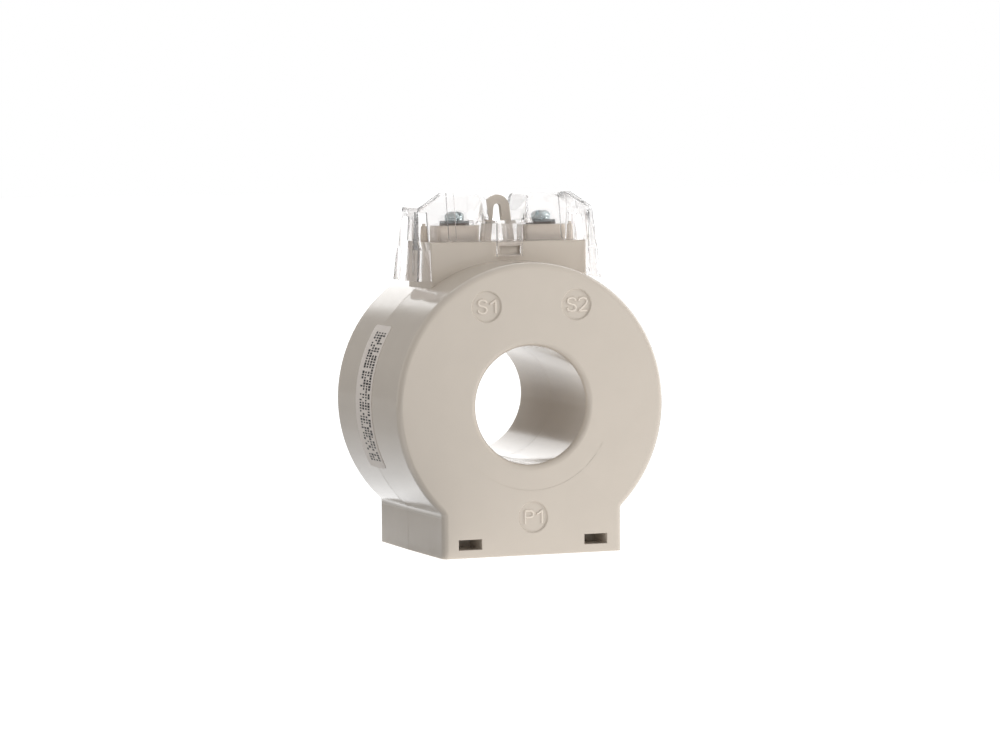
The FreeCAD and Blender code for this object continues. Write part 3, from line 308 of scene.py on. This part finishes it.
def merged_copy(name, node, prepare=None):
    """A CAD node's loose triangles joined into one closed mesh with whole flat faces."""
    shape = bmesh.new()
    shape.from_mesh(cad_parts[node].data)
    bmesh.ops.remove_doubles(shape, verts=shape.verts, dist=SAME_POINT)
    if prepare:
        prepare(shape)
    bmesh.ops.dissolve_degenerate(shape, edges=shape.edges, dist=SLIVER)
    bmesh.ops.dissolve_limit(shape, angle_limit=FLAT, verts=shape.verts, edges=shape.edges)
    mesh = bpy.data.meshes.new(name)
    shape.to_mesh(mesh)
    shape.free()
    return new_object(name, mesh)


def smooth_flats(piece, angle=CREASE):
    """Smooth shading that keeps flat faces flat and corners sharper than the angle sharp."""
    piece.data.shade_smooth()
    piece.data.set_sharp_from_angle(angle=math.radians(angle))
    flat = piece.modifiers.new("flat faces", "WEIGHTED_NORMAL")
    flat.keep_sharp = True
    flat.weight = 100
    return settle(piece)


def all_alike(middle):
    return 1.0


def ease_edges(piece, width, share=all_alike):
    """Round the outward edges, each by its share of the width.

    share takes an edge's middle in millimetres."""
    shape = bmesh.new()
    shape.from_mesh(piece.data)
    weights = shape.edges.layers.float.new("bevel_weight_edge")
    for edge in shape.edges:
        if len(edge.link_faces) != 2 or not edge.is_convex:
            continue
        if edge.calc_face_angle(0.0) < EASED_FROM:
            continue
        middle = (edge.verts[0].co + edge.verts[1].co) / (2 * MM)
        edge[weights] = share(middle)
    shape.to_mesh(piece.data)
    shape.free()
    bevel = piece.modifiers.new("eased edges", "BEVEL")
    bevel.width = width * MM
    bevel.segments = BEVEL_SEGMENTS
    bevel.limit_method = "WEIGHT"
    bevel.use_clamp_overlap = False
    bevel.loop_slide = False
    return settle(piece)


def round_the_axis(piece):
    """Give the ring's and the window's walls the exact normals of their cones."""
    mesh = piece.data
    normals = [corner.vector.copy() for corner in mesh.corner_normals]
    axis = Vector((0, 0, RING_HEIGHT * MM))
    for face in mesh.polygons:
        out = face.center - axis
        out.y = 0
        reach = out.length / MM
        if not any(low < reach < high for low, high in (RING_WALL, WINDOW_WALL)):
            continue
        facing = face.normal.dot(out.normalized())
        if abs(facing) < CONE_FACING or abs(face.normal.y) > CONE_SLOPE:
            continue
        for corner in face.loop_indices:
            spoke = mesh.vertices[mesh.loops[corner].vertex_index].co - axis
            spoke.y = 0
            spoke = spoke.normalized() * math.copysign(1.0, facing)
            spoke.y = face.normal.y
            normals[corner] = spoke.normalized()
    mesh.normals_split_custom_set(normals)
    return piece


def finished_copy(name, node, width=0.0, share=all_alike, angle=CREASE, prepare=None):
    """A merged copy of a CAD node with eased edges and flats kept flat."""
    piece = merged_copy(name, node, prepare)
    if width:
        ease_edges(piece, width, share)
    return smooth_flats(piece, angle)


def carry(piece, body, material, slot, *nodes):
    """Give a piece its material and body, and hide the CAD nodes that it stands for. Its slot is
    not used.
    """
    piece.data.materials.clear()
    piece.data.materials.append(material)
    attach(piece, body)
    if nodes:
        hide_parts(*nodes)
    return piece


# Housing

ON_PLANE = 0.01                # near enough to a plane to lie in it
ON_ROUND = 0.1                 # near enough to a round edge to belong to it
MARK_RADIUS = 5.65             # the marks as drawn, at their rims
MARK_FLOOR_RADIUS = 5.2        # and at their floors
MARK_DEEPER = 0.25
DRAWN_FLOOR = MARK_FLOOR + MARK_DEEPER
WITNESS_BAND = 0.5             # how far from its middle the moulding ring's points lie, at most
WITNESS_REACH = 0.2            # and how deep
WITNESS_DEPTH = 0.02           # how deep it is drawn

HOUSING_EASE = 0.4             # each edge is eased by a share of this
MARK_SHARE = 0.5
WINDOW_SHARE = 0.4
FAR = 999.0
EASED = [  # share, and the ranges of |x|, |y| and z that hold the middle of an edge
    (0.5, (0, FAR), (29, FAR), (-FAR, 1)),             # the foot's two faces, at the bottom
    (0.35, (0, FAR), (29, FAR), (1, 8)),               # and above it, with the sockets' mouths
    (0.5, (33, FAR), (0, FAR), (-FAR, ON_PLANE)),      # the foot's two sides, at the bottom
    (0.3, (0, 7), (0, FAR), (110.45, FAR)),            # the sealing eye
    (0.7, (0, 25.5), (4.5, FAR), (110.3, FAR)),        # the tower's top
    (0.6, (7, 8.7), (0, FAR), (115.85, FAR)),          # the bosses' inner ends
    (0.6, (24.5, 26), (0, FAR), (115.85, FAR)),        # and their outer ends
]


def is_mark_rim(x, y, z):
    off_rims = [abs(math.hypot(x - across, z - up) - MARK_RADIUS) for across, up in MARKS.values()]
    return y < FRONT_FACE + ON_PLANE and min(off_rims) < ON_ROUND


def housing_share(middle):
    """How far each outward edge of the housing is eased, as a share of HOUSING_EASE."""
    x, y, z = middle
    if is_mark_rim(x, y, z):
        return MARK_SHARE
    off_window = abs(math.hypot(x, z - RING_HEIGHT) - WINDOW_RADIUS)
    if abs(y - PARTING) < ON_PLANE and off_window < ON_ROUND:
        return WINDOW_SHARE
    for share, *ranges in EASED:
        if all(low <= value < high for value, (low, high) in zip((abs(x), abs(y), z), ranges)):
            return share
    return 0.0


def trim_marks(shape):
    """Draw the marks smaller and deeper, and leave a trace of the moulding ring."""
    for vert in shape.verts:
        x, y, z = vert.co / MM
        on_face = y < FRONT_FACE + ON_PLANE
        for across, up in MARKS.values():
            from_middle = math.hypot(x - across, z - up)
            if y < MARK_FLOOR + ON_PLANE and from_middle < CAD_MARK_RADIUS + ON_ROUND:
                drawn = MARK_RADIUS if on_face else MARK_FLOOR_RADIUS
                vert.co.x = (across + (x - across) * drawn / CAD_MARK_RADIUS) * MM
                vert.co.z = (up + (z - up) * drawn / CAD_MARK_RADIUS) * MM
                if not on_face:
                    vert.co.y = DRAWN_FLOOR * MM
        off_ring = abs(math.hypot(x, z - RING_HEIGHT) - WITNESS_RADIUS)
        if off_ring < WITNESS_BAND and FRONT_FACE < y < FRONT_FACE + WITNESS_REACH:
            vert.co.y = (FRONT_FACE + WITNESS_DEPTH) * MM


def housing_half(name, node, prepare=None):
    half = finished_copy(name, node, HOUSING_EASE, housing_share, prepare=prepare)
    return carry(round_the_axis(half), "housing", HOUSING_PLASTIC, "housing", node)


housing_half("front_housing", "front_shell", trim_marks)
housing_half("rear_housing", "rear_shell")
carry(finished_copy("side_sticker", "side_label"), "housing", LABEL_STOCK, "label", "side_label")


# Printed rows on the label

class Tree(Nodes):
    """A geometry-node tree with named inputs for its sizes."""

    def __init__(self, name, sizes):
        super().__init__(bpy.data.node_groups.new(name, "GeometryNodeTree"))
        self.sizes = sizes
        for way in ("INPUT", "OUTPUT"):
            self.tree.interface.new_socket("Geometry", in_out=way, socket_type="NodeSocketGeometry")
        self.keys = {}
        for label, value in sizes.items():
            kind = "NodeSocketInt" if isinstance(value, int) else "NodeSocketFloat"
            socket = self.tree.interface.new_socket(label, in_out="INPUT", socket_type=kind)
            socket.default_value = value
            self.keys[label] = socket.identifier
        self.given = self.add("NodeGroupInput").outputs

    def point(self, **parts):
        """A place, size or turn from its parts along X, Y and Z."""
        return self.add("ShaderNodeCombineXYZ", parts).outputs[0]

    def grow(self, name, shape, material):
        """Run the tree on an empty mesh and keep the shape, in its material, as a plain mesh."""
        real = self.add("GeometryNodeRealizeInstances", {"Geometry": shape})
        painted = self.add("GeometryNodeSetMaterial", {"Geometry": real.outputs["Geometry"],
                                                       "Material": material})
        self.add("NodeGroupOutput", {"Geometry": painted.outputs["Geometry"]})
        piece = new_object(name, bpy.data.meshes.new(name))
        grown = piece.modifiers.new("grown", "NODES")
        grown.node_group = self.tree
        for label, value in self.sizes.items():
            grown[self.keys[label]] = value
        return settle(piece)


INK_RADIUS = RING_RADIUS + 0.13
INK_THICK = 0.04
LEFT_BLANK = 0.17              # share of the dashes
SMALLEST_DASH = (1.0, 0.55, 0.6)
LARGEST_DASH = (1.0, 1.0, 1.25)


def printed_rows():
    """Rows of short dashes that follow the label round the ring, with some left out.

    The tree's sizes are in metres and degrees, as the thread's are further down."""
    tree = Tree("printed rows", {
        "Dashes": 48, "Rows": 4, "Radius": INK_RADIUS * MM, "Height": RING_HEIGHT * MM,
        "First row": -0.0036, "Row pitch": 0.0028, "Top angle": 29.5, "Step angle": -1.12,
        "Dash length": 0.00072, "Dash width": 0.0023, "Seed": 7})
    given = tree.given
    count = tree.math("MULTIPLY", given["Dashes"], given["Rows"])
    line = tree.add("GeometryNodeMeshLine", {"Count": count})
    index = tree.add("GeometryNodeInputIndex").outputs[0]
    row = tree.math("FLOOR", tree.math("DIVIDE", index, given["Dashes"]))
    step = tree.math("SUBTRACT", index, tree.math("MULTIPLY", row, given["Dashes"]))
    degrees = tree.math("ADD", given["Top angle"], tree.math("MULTIPLY", step, given["Step angle"]))
    angle = tree.math("RADIANS", degrees)
    leftwards = tree.math("MULTIPLY", tree.math("COSINE", angle), given["Radius"])
    rise = tree.math("MULTIPLY", tree.math("SINE", angle), given["Radius"])
    place = tree.point(X=tree.math("MULTIPLY", leftwards, -1.0),
                       Y=tree.math("ADD", given["First row"],
                                   tree.math("MULTIPLY", row, given["Row pitch"])),
                       Z=tree.math("ADD", rise, given["Height"]))
    placed = tree.add("GeometryNodeSetPosition",
                      {"Geometry": line.outputs["Mesh"], "Position": place})
    points = tree.add("GeometryNodeMeshToPoints", {"Mesh": placed.outputs["Geometry"]})
    size = tree.point(X=INK_THICK * MM, Y=given["Dash width"], Z=given["Dash length"])
    dash = tree.add("GeometryNodeMeshCube", {"Size": size})
    chance = tree.add("FunctionNodeRandomValue", {"Seed": given["Seed"]}, data_type="FLOAT")
    kept = tree.math("GREATER_THAN", chance.outputs[1], LEFT_BLANK)
    stretch = tree.add("FunctionNodeRandomValue",
                       {0: SMALLEST_DASH, 1: LARGEST_DASH,
                        "Seed": tree.math("ADD", given["Seed"], 3)}, data_type="FLOAT_VECTOR")
    spread = tree.add("GeometryNodeInstanceOnPoints", {
        "Points": points.outputs["Points"], "Instance": dash.outputs["Mesh"], "Selection": kept,
        "Rotation": tree.point(Y=angle), "Scale": stretch.outputs[0]})
    return tree.grow("label_print", spread.outputs["Instances"], LABEL_INK)


carry(printed_rows(), "housing", LABEL_INK, "label")


# Raised polarity marks

LETTER_HEIGHT = 4.6
LETTER_BREADTH = 3.5
LETTER_GAP = 0.8
LETTER_SHIFT = 0.4
LETTER_SUNK = 0.05             # how far the middle of a stroke lies under the mark's floor
STROKE = 0.4                   # half the width of a stroke
STROKES = {  # how broad each letter is, and its pen path in a box one unit wide and high
    "S": (1.0, [(0.95, 0.79), (0.82, 0.94), (0.5, 1.0), (0.18, 0.94), (0.07, 0.76), (0.2, 0.6),
                (0.5, 0.52), (0.82, 0.43), (0.96, 0.24), (0.82, 0.06), (0.5, 0.0), (0.16, 0.06),
                (0.02, 0.23)]),
    "1": (0.85, [(0.1, 0.7), (0.48, 0.83), (0.8, 1.0), (0.8, 0.5), (0.8, 0.0)]),
    "2": (1.0, [(0.05, 0.75), (0.14, 0.93), (0.5, 1.0), (0.84, 0.92), (0.93, 0.72), (0.8, 0.5),
                (0.42, 0.24), (0.05, 0.0), (0.5, 0.0), (0.98, 0.0)]),
    "P": (1.0, [(0.08, 0.0), (0.08, 0.5), (0.08, 1.0), (0.55, 1.0), (0.86, 0.93), (0.96, 0.75),
                (0.86, 0.56), (0.55, 0.49), (0.08, 0.49)]),
}
CORNERS = {(0.8, 1.0), (0.05, 0.0), (0.08, 1.0)}
PEN_STEPS = 6                  # between two points of a path
ROUND_CREASE = 60.0            # degrees, for strokes and threads


def cleaned(piece):
    """Join doubled points, point the faces outwards and smooth all but the corners."""
    mesh = piece.data
    shape = bmesh.new()
    shape.from_mesh(mesh)
    bmesh.ops.remove_doubles(shape, verts=shape.verts, dist=SLIVER)
    bmesh.ops.recalc_face_normals(shape, faces=shape.faces)
    shape.to_mesh(mesh)
    shape.free()
    mesh.shade_smooth()
    mesh.set_sharp_from_angle(angle=math.radians(ROUND_CREASE))
    return piece


def pen_path(points):
    """A smooth path through the points that keeps the letter's corners sharp."""
    path = []
    for k in range(len(points) - 1):
        here, there = Vector(points[k]), Vector(points[k + 1])
        before = here if k == 0 or points[k] in CORNERS else Vector(points[k - 1])
        is_last = k + 2 == len(points)
        after = there if is_last or points[k + 1] in CORNERS else Vector(points[k + 2])
        lead_out = (there - before) / (1 if before == here else 2)
        lead_in = (after - here) / (1 if after == there else 2)
        for step in range(PEN_STEPS):
            t = step / PEN_STEPS
            path.append(here * (2 * t ** 3 - 3 * t ** 2 + 1) + lead_out * (t ** 3 - 2 * t ** 2 + t)
                        + there * (3 * t ** 2 - 2 * t ** 3) + lead_in * (t ** 3 - t ** 2))
    return path + [Vector(points[-1])]


def raised_letters(words, across, up):
    """Moulded letters with round strokes that stand up from a mark's floor."""
    curve = bpy.data.curves.new("letters_" + words, "CURVE")
    curve.dimensions = "3D"
    curve.bevel_depth = STROKE * MM
    curve.bevel_resolution = 4
    curve.use_fill_caps = True
    widths = [STROKES[letter][0] * LETTER_BREADTH for letter in words]
    left = across + LETTER_SHIFT - (sum(widths) + LETTER_GAP * (len(words) - 1)) / 2
    depth = DRAWN_FLOOR - LETTER_SUNK
    for letter, width in zip(words, widths):
        path = pen_path(STROKES[letter][1])
        stroke = curve.splines.new("POLY")
        stroke.points.add(len(path) - 1)
        for point, (x, y) in zip(stroke.points, path):
            height = up + (y - 0.5) * LETTER_HEIGHT
            point.co = ((left + x * width) * MM, depth * MM, height * MM, 1.0)
        left += width + LETTER_GAP
    pen = new_object("pen_" + words, curve)
    mesh = plain_mesh(pen)
    bpy.data.objects.remove(pen)
    return cleaned(new_object("mark_" + words, mesh))


for words, (across, up) in MARKS.items():
    carry(raised_letters(words, across, up), "housing", LETTER_PLASTIC_PAINTED_LIGHTER, "housing")


# Terminals

HEAD_RIM = 0.75                # height of the head's upright rim
DOME_RISE = 1.75
DOME_STEPS = 12
CROWN_RADIUS = 1.1             # flat middle of the dome
CORE_RADIUS = 1.7              # bottom of the thread
TIP_WIDTH = 0.3                # bevel of the tip
TIP_LENGTH = 0.5
HEAD_BEVEL = 0.15              # bevel under the head
SLOT_EASE = 0.08
SHEET_EASE = 0.12              # of strips and plates
WASHER_EASE = 0.1
SCREW_CREASE = 38.0            # degrees
EASED_ABOVE = WASHER_TOP + 0.8
TURNED_STEPS = 64
SLOT = ((-4.5, -0.55, HEAD_TOP - 1.6), (4.5, 0.55, HEAD_TOP + 1))
CROSS = ((-0.5, -2.1, HEAD_TOP - 1.4), (0.5, 2.1, HEAD_TOP + 1))
SLOT_TURNS = {"s1": -74, "s2": 46}     # degrees


def turned(name, profile):
    """A closed solid turned about Z from its (radius, height) points, on the axis at both ends."""
    shape = bmesh.new()
    rings = []
    for radius, height in profile:
        if not radius:
            rings.append([shape.verts.new((0, 0, height * MM))])
            continue
        angles = [2 * math.pi * k / TURNED_STEPS for k in range(TURNED_STEPS)]
        rings.append([shape.verts.new((radius * math.cos(a) * MM, radius * math.sin(a) * MM,
                                       height * MM)) for a in angles])
    for low, high in zip(rings, rings[1:]):
        for k in range(TURNED_STEPS):
            n = (k + 1) % TURNED_STEPS
            corners = (low[k % len(low)], low[n % len(low)],
                       high[n % len(high)], high[k % len(high)])
            shape.faces.new(list(dict.fromkeys(corners)))
    mesh = bpy.data.meshes.new(name)
    bmesh.ops.recalc_face_normals(shape, faces=shape.faces)
    shape.to_mesh(mesh)
    shape.free()
    return new_object(name, mesh)


def block(name, low, high):
    """A plain box between two corners, to cut with."""
    mesh = bpy.data.meshes.new(name)
    shape = bmesh.new()
    bmesh.ops.create_cube(shape, size=1.0)
    for vert in shape.verts:
        vert.co = Vector([(a + b) / 2 + c * (b - a) for a, b, c in zip(low, high, vert.co)]) * MM
    shape.to_mesh(mesh)
    shape.free()
    return new_object(name, mesh)


def carve(piece, tools):
    """Cut the tools out of a piece."""
    for tool in tools:
        cut = piece.modifiers.new("cut", "BOOLEAN")
        cut.object = tool
        cut.operation = "DIFFERENCE"
        cut.solver = "EXACT"
    settle(piece)
    for tool in tools:
        bpy.data.objects.remove(tool)
    return piece


def on_dome(middle):
    return 1.0 if middle.z > EASED_ABOVE else 0.0


def domed_screw(tag, across):
    """Pan-head screw: domed head with a slot and a cross, plain core with a bevelled tip."""
    profile = [(0, SCREW_TIP), (CORE_RADIUS - TIP_WIDTH, SCREW_TIP),
               (CORE_RADIUS, SCREW_TIP + TIP_LENGTH), (CORE_RADIUS, WASHER_TOP),
               (HEAD_RADIUS - HEAD_BEVEL, WASHER_TOP), (HEAD_RADIUS, WASHER_TOP + HEAD_BEVEL)]
    for step in range(DOME_STEPS + 1):
        lift = math.radians(90 * step / DOME_STEPS)
        profile.append((CROWN_RADIUS + (HEAD_RADIUS - CROWN_RADIUS) * math.cos(lift),
                        WASHER_TOP + HEAD_RIM + DOME_RISE * math.sin(lift)))
    screw = turned("screw_" + tag, profile + [(0, HEAD_TOP)])
    carve(screw, [block("slot", *SLOT), block("cross", *CROSS)])
    ease_edges(screw, SLOT_EASE, on_dome)
    turn = Matrix.Rotation(math.radians(SLOT_TURNS[tag]), 4, "Z")
    screw.data.transform(Matrix.Translation((across * MM, 0, 0)) @ turn)
    return smooth_flats(screw, SCREW_CREASE)


def screw_thread(tag, across):
    """A rounded ridge that winds up the screw's core."""
    tree = Tree("screw thread", {"Turns": 12.5, "Pitch": 0.0007, "Core radius": 0.00172,
                                 "Ridge": 0.00024, "Across": across * MM,
                                 "Start": (SCREW_TIP + 0.9) * MM})
    given = tree.given
    path = tree.add("GeometryNodeCurveSpiral", {
        "Resolution": 24, "Rotations": given["Turns"], "Start Radius": given["Core radius"],
        "End Radius": given["Core radius"],
        "Height": tree.math("MULTIPLY", given["Turns"], given["Pitch"])})
    ridge = tree.add("GeometryNodeCurvePrimitiveCircle",
                     {"Resolution": 8, "Radius": given["Ridge"]})
    wound = tree.add("GeometryNodeCurveToMesh", {
        "Curve": path.outputs["Curve"], "Profile Curve": ridge.outputs["Curve"], "Fill Caps": True})
    moved = tree.add("GeometryNodeTransform", {
        "Geometry": wound.outputs["Mesh"],
        "Translation": tree.point(X=given["Across"], Z=given["Start"])})
    return cleaned(tree.grow("thread_" + tag, moved.outputs["Geometry"], ZINC))


for tag, across in TERMINALS.items():
    screw, clamp = "screw_" + tag, "clamp_" + tag
    carry(screw_thread(tag, across), screw, ZINC, "zinc_steel")
    strip = finished_copy("strip_" + tag, "terminal_strip_" + tag, SHEET_EASE)
    carry(strip, "housing", BRASS, "brass_strip", "terminal_strip_" + tag)
    plate = finished_copy("plate_" + tag, "clamp_plate_" + tag, SHEET_EASE)
    carry(plate, clamp, DARK_ZINC, "zinc_steel", "clamp_plate_" + tag)
    washer = finished_copy("washer_" + tag, "spring_washer_" + tag, WASHER_EASE)
    carry(washer, clamp, ZINC, "zinc_steel", "spring_washer_" + tag)
    carry(domed_screw(tag, across), screw, ZINC, "zinc_steel", "terminal_screw_" + tag)

clear_cover = finished_copy("clear_cover", "terminal_cover", angle=30.0)
carry(clear_cover, "cover", CLEAR, "clear_cover", "terminal_cover")


# CAD nodes that keep their own mesh

for node, material in {
        "terminal_nut_s1": ZINC, "terminal_nut_s2": ZINC, "lead_s1": COPPER, "lead_s2": COPPER,
        "sleeve_s1": SLEEVE_RUBBER, "sleeve_s2": SLEEVE_RUBBER, "core": CORE_STEEL,
        "core_cup_front": CUP_NYLON, "core_cup_rear": CUP_NYLON, "secondary_winding": COPPER,
        "winding_tape": TAPE, "seat_ring_front": FOAM, "seat_ring_rear": FOAM}.items():
    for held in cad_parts[node].material_slots:
        held.material = material


# Studio, in metres

FLOOR_LEVEL = -0.0002
FLOOR_HALF = 6.0
FLOOR_GREY = 0.4
FLOOR_GLOW = 0.97
TENT_STRENGTH = 0.62           # the white all round, as light
BEHIND = (0.36, 0.93, -0.07)   # directions in which the clear cover shows white
BESIDE = (0.84, -0.3, 0.45)
BEHIND_FADE = (0.75, 0.97)     # from shade to white
BESIDE_FADE = (0.35, 0.75)
SHADE_IN_COVER = (0.5, 0.44, 0.42, 1.0)

LEFT_LEVEL = -0.00012          # the sheets on the floor lie lower than the foot's underside
BACK_LEVEL = -0.00006
FOOT_SIDE = -0.0346
FOOT_REAR = 0.0332
BACK = 1.6
BEFORE_BACK = 1.59

KEY_PLACE = (1.2, -0.6, 0.5)
KEY_AIM = (0, 0, 0.06)
KEY_SIZE = 0.35
KEY_POWER = 5.8

CAMERA_PLACE = (-0.50409, -1.29450, 0.15536)
CAMERA_HEADING = (0.36242, 0.92955, -0.06774)
CAMERA_ROLL = -0.4596          # degrees
CAMERA_LENS = 139.32           # millimetres, as the next
CAMERA_SENSOR = 36.0
CAMERA_SHIFT = 0.002
CAMERA_CLIP = (0.05, 50.0)


def sheet(name, corners, material):
    mesh = bpy.data.meshes.new(name)
    mesh.from_pydata(corners, [], [tuple(range(len(corners)))])
    mesh.materials.append(material)
    return new_object(name, mesh)


def level(height, *corners):
    """Corners of a level sheet."""
    return [(x, y, height) for x, y in corners]


def wall_across(y, left, right, low, high):
    """Corners of an upright sheet that runs from left to right."""
    return [(left, y, low), (right, y, low), (right, y, high), (left, y, high)]


def wall_along(x, front, rear, low, high):
    """Corners of an upright sheet that runs from front to rear."""
    return [(x, front, low), (x, rear, low), (x, rear, high), (x, front, high)]


def make_floor():
    r = Recipe("white floor")
    white = r.finish(Base_Color=grey(FLOOR_GREY), Roughness=0.9, Specular_IOR_Level=0.0,
                     Emission_Color=WHITE, Emission_Strength=FLOOR_GLOW)
    half = FLOOR_HALF
    corners = level(0.0, (-half, -half), (half, -half), (half, half), (-half, half))
    floor = sheet("floor", corners, white)
    floor.location.z = FLOOR_LEVEL


def make_world():
    """White all round, though the clear cover shows it dimmer away from BEHIND and BESIDE."""
    world = bpy.data.worlds.new("studio")
    bpy.context.scene.world = world
    world.use_nodes = True
    nodes = Nodes(world.node_tree)
    nodes.tree.nodes.clear()

    def background(colour, strength=1.0):
        node = nodes.add("ShaderNodeBackground", {"Color": colour, "Strength": strength})
        return node.outputs["Background"]

    heading = nodes.add("ShaderNodeTexCoord").outputs["Generated"]
    behind = nodes.span(nodes.along(heading, BEHIND), *BEHIND_FADE)
    beside = nodes.span(nodes.along(heading, BESIDE), *BESIDE_FADE)
    seen_in_cover = nodes.add("ShaderNodeMixRGB", {
        "Fac": nodes.math("MAXIMUM", behind, beside), "Color1": SHADE_IN_COVER, "Color2": WHITE})
    ray = nodes.add("ShaderNodeLightPath").outputs
    tent = nodes.mix(ray["Is Transmission Ray"], background(WHITE, TENT_STRENGTH),
                     background(seen_in_cover.outputs["Color"]))
    nodes.add("ShaderNodeOutputWorld",
              {"Surface": nodes.mix(ray["Is Camera Ray"], tent, background(WHITE))})


def make_card(name, corners, along, glow, lights_object=False):
    """A glowing sheet that only reflections show, or that also lights the object.

    glow lists places along a direction, and the brightness there."""
    first, last = glow[0][0], glow[-1][0]
    brightest = max(value for place, value in glow)
    r = Recipe(name)
    share = r.span(r.along(r.place, along), first, last)
    shade = r.ramp(share, [((place - first) / (last - first), grey(value / brightest))
                           for place, value in glow])
    card = sheet(name, corners, r.finish(
        Base_Color=grey(0.0), Roughness=1.0, Specular_IOR_Level=0.0,
        Emission_Color=shade, Emission_Strength=brightest))
    card.visible_camera = False
    card.visible_transmission = False
    card.visible_shadow = lights_object
    card.visible_diffuse = lights_object


def make_key():
    """The one lamp, at the right in front; no reflection shows it."""
    light = bpy.data.lights.new("key", "AREA")
    light.shape = "RECTANGLE"
    light.size = light.size_y = KEY_SIZE
    light.energy = KEY_POWER
    lamp = new_object("key", light)
    lamp.visible_glossy = False
    lamp.location = KEY_PLACE
    lamp.rotation_euler = (Vector(KEY_AIM) - Vector(KEY_PLACE)).to_track_quat("-Z", "Y").to_euler()


def make_camera():
    camera = bpy.data.cameras.new("camera")
    camera.sensor_width = CAMERA_SENSOR
    camera.lens = CAMERA_LENS
    camera.shift_y = CAMERA_SHIFT
    camera.clip_start, camera.clip_end = CAMERA_CLIP
    eye = new_object("camera", camera)
    heading = Vector(CAMERA_HEADING).normalized().to_track_quat("-Z", "Y").to_matrix().to_4x4()
    roll = Matrix.Rotation(math.radians(CAMERA_ROLL), 4, "Z")
    eye.matrix_world = Matrix.Translation(CAMERA_PLACE) @ heading @ roll
    bpy.context.scene.camera = eye


make_floor()
make_world()
# Painted shadow: a sheet over the floor at the left that glows dim next to the foot, in place of
# the object's own shadow there, and brighter further out; the camera doesn't see it.
make_card("left floor card",
          level(LEFT_LEVEL, (-0.9, -0.7), (-0.08, -0.7), (FOOT_SIDE, -0.034), (FOOT_SIDE, 0.04),
                (-0.05, 0.7), (-0.9, 0.7)),
          (1, 0, 0), [(-0.9, 1.0), (-0.16, 0.75), (-0.09, 0.14), (0.0, 0.14)], lights_object=True)
for name, corners, along, glow in (
        ("back wall", wall_across(BACK, -1.2, 2.2, 0.0, 1.6), (1, 0, 0),
         [(-0.29, 0.3), (-0.25, 0.4), (-0.19, 1.1), (-0.15, 2.2), (0.1, 2.7), (0.22, 2.8),
          (0.4, 1.0), (1.0, 0.8)]),
        ("low window glow", wall_across(BEFORE_BACK, 0.36, 0.7, 0.0, 0.19), (1, 0, 0),
         [(0.36, 2.7), (0.7, 2.4)]),
        ("high window glow", wall_across(BEFORE_BACK, 0.2, 0.56, 0.31, 0.75), (1, 0, 0),
         [(0.2, 2.8), (0.56, 2.6)]),
        ("back floor",
         level(BACK_LEVEL, (-1.2, -0.6), (FOOT_SIDE, -0.6), (FOOT_SIDE, FOOT_REAR),
               (1.2, FOOT_REAR), (1.2, BACK), (-1.2, BACK)), (1, -0.5, 0),
         [(-0.4, 0.46), (-0.227, 0.64), (-0.157, 0.95), (-0.132, 1.1), (-0.088, 1.5),
          (-0.064, 1.9), (-0.04, 1.2), (0.0, 0.6)]),
        ("right wall", wall_along(0.9, -0.2, 1.4, 0.0, 0.9), (0, 1, 0),
         [(-0.2, 2.2), (0.5, 2.2), (1.0, 0.8), (1.4, 0.8)]),
        ("overhead strip", level(1.7, (-0.6, 0.7), (1.6, 0.7), (1.6, 1.6), (-0.6, 1.6)), (0, 1, 0),
         [(0.7, 3.0), (1.6, 3.0)]),
        ("dark left side", wall_along(-0.8, -1.1, 0.0, 0.0, 1.2), (0, 1, 0),
         [(-1.1, 0.05), (0.0, 0.05)])):
    make_card(name, corners, along, glow)
make_key()
make_camera()
bpy.context.scene.view_settings.view_transform = "Standard"
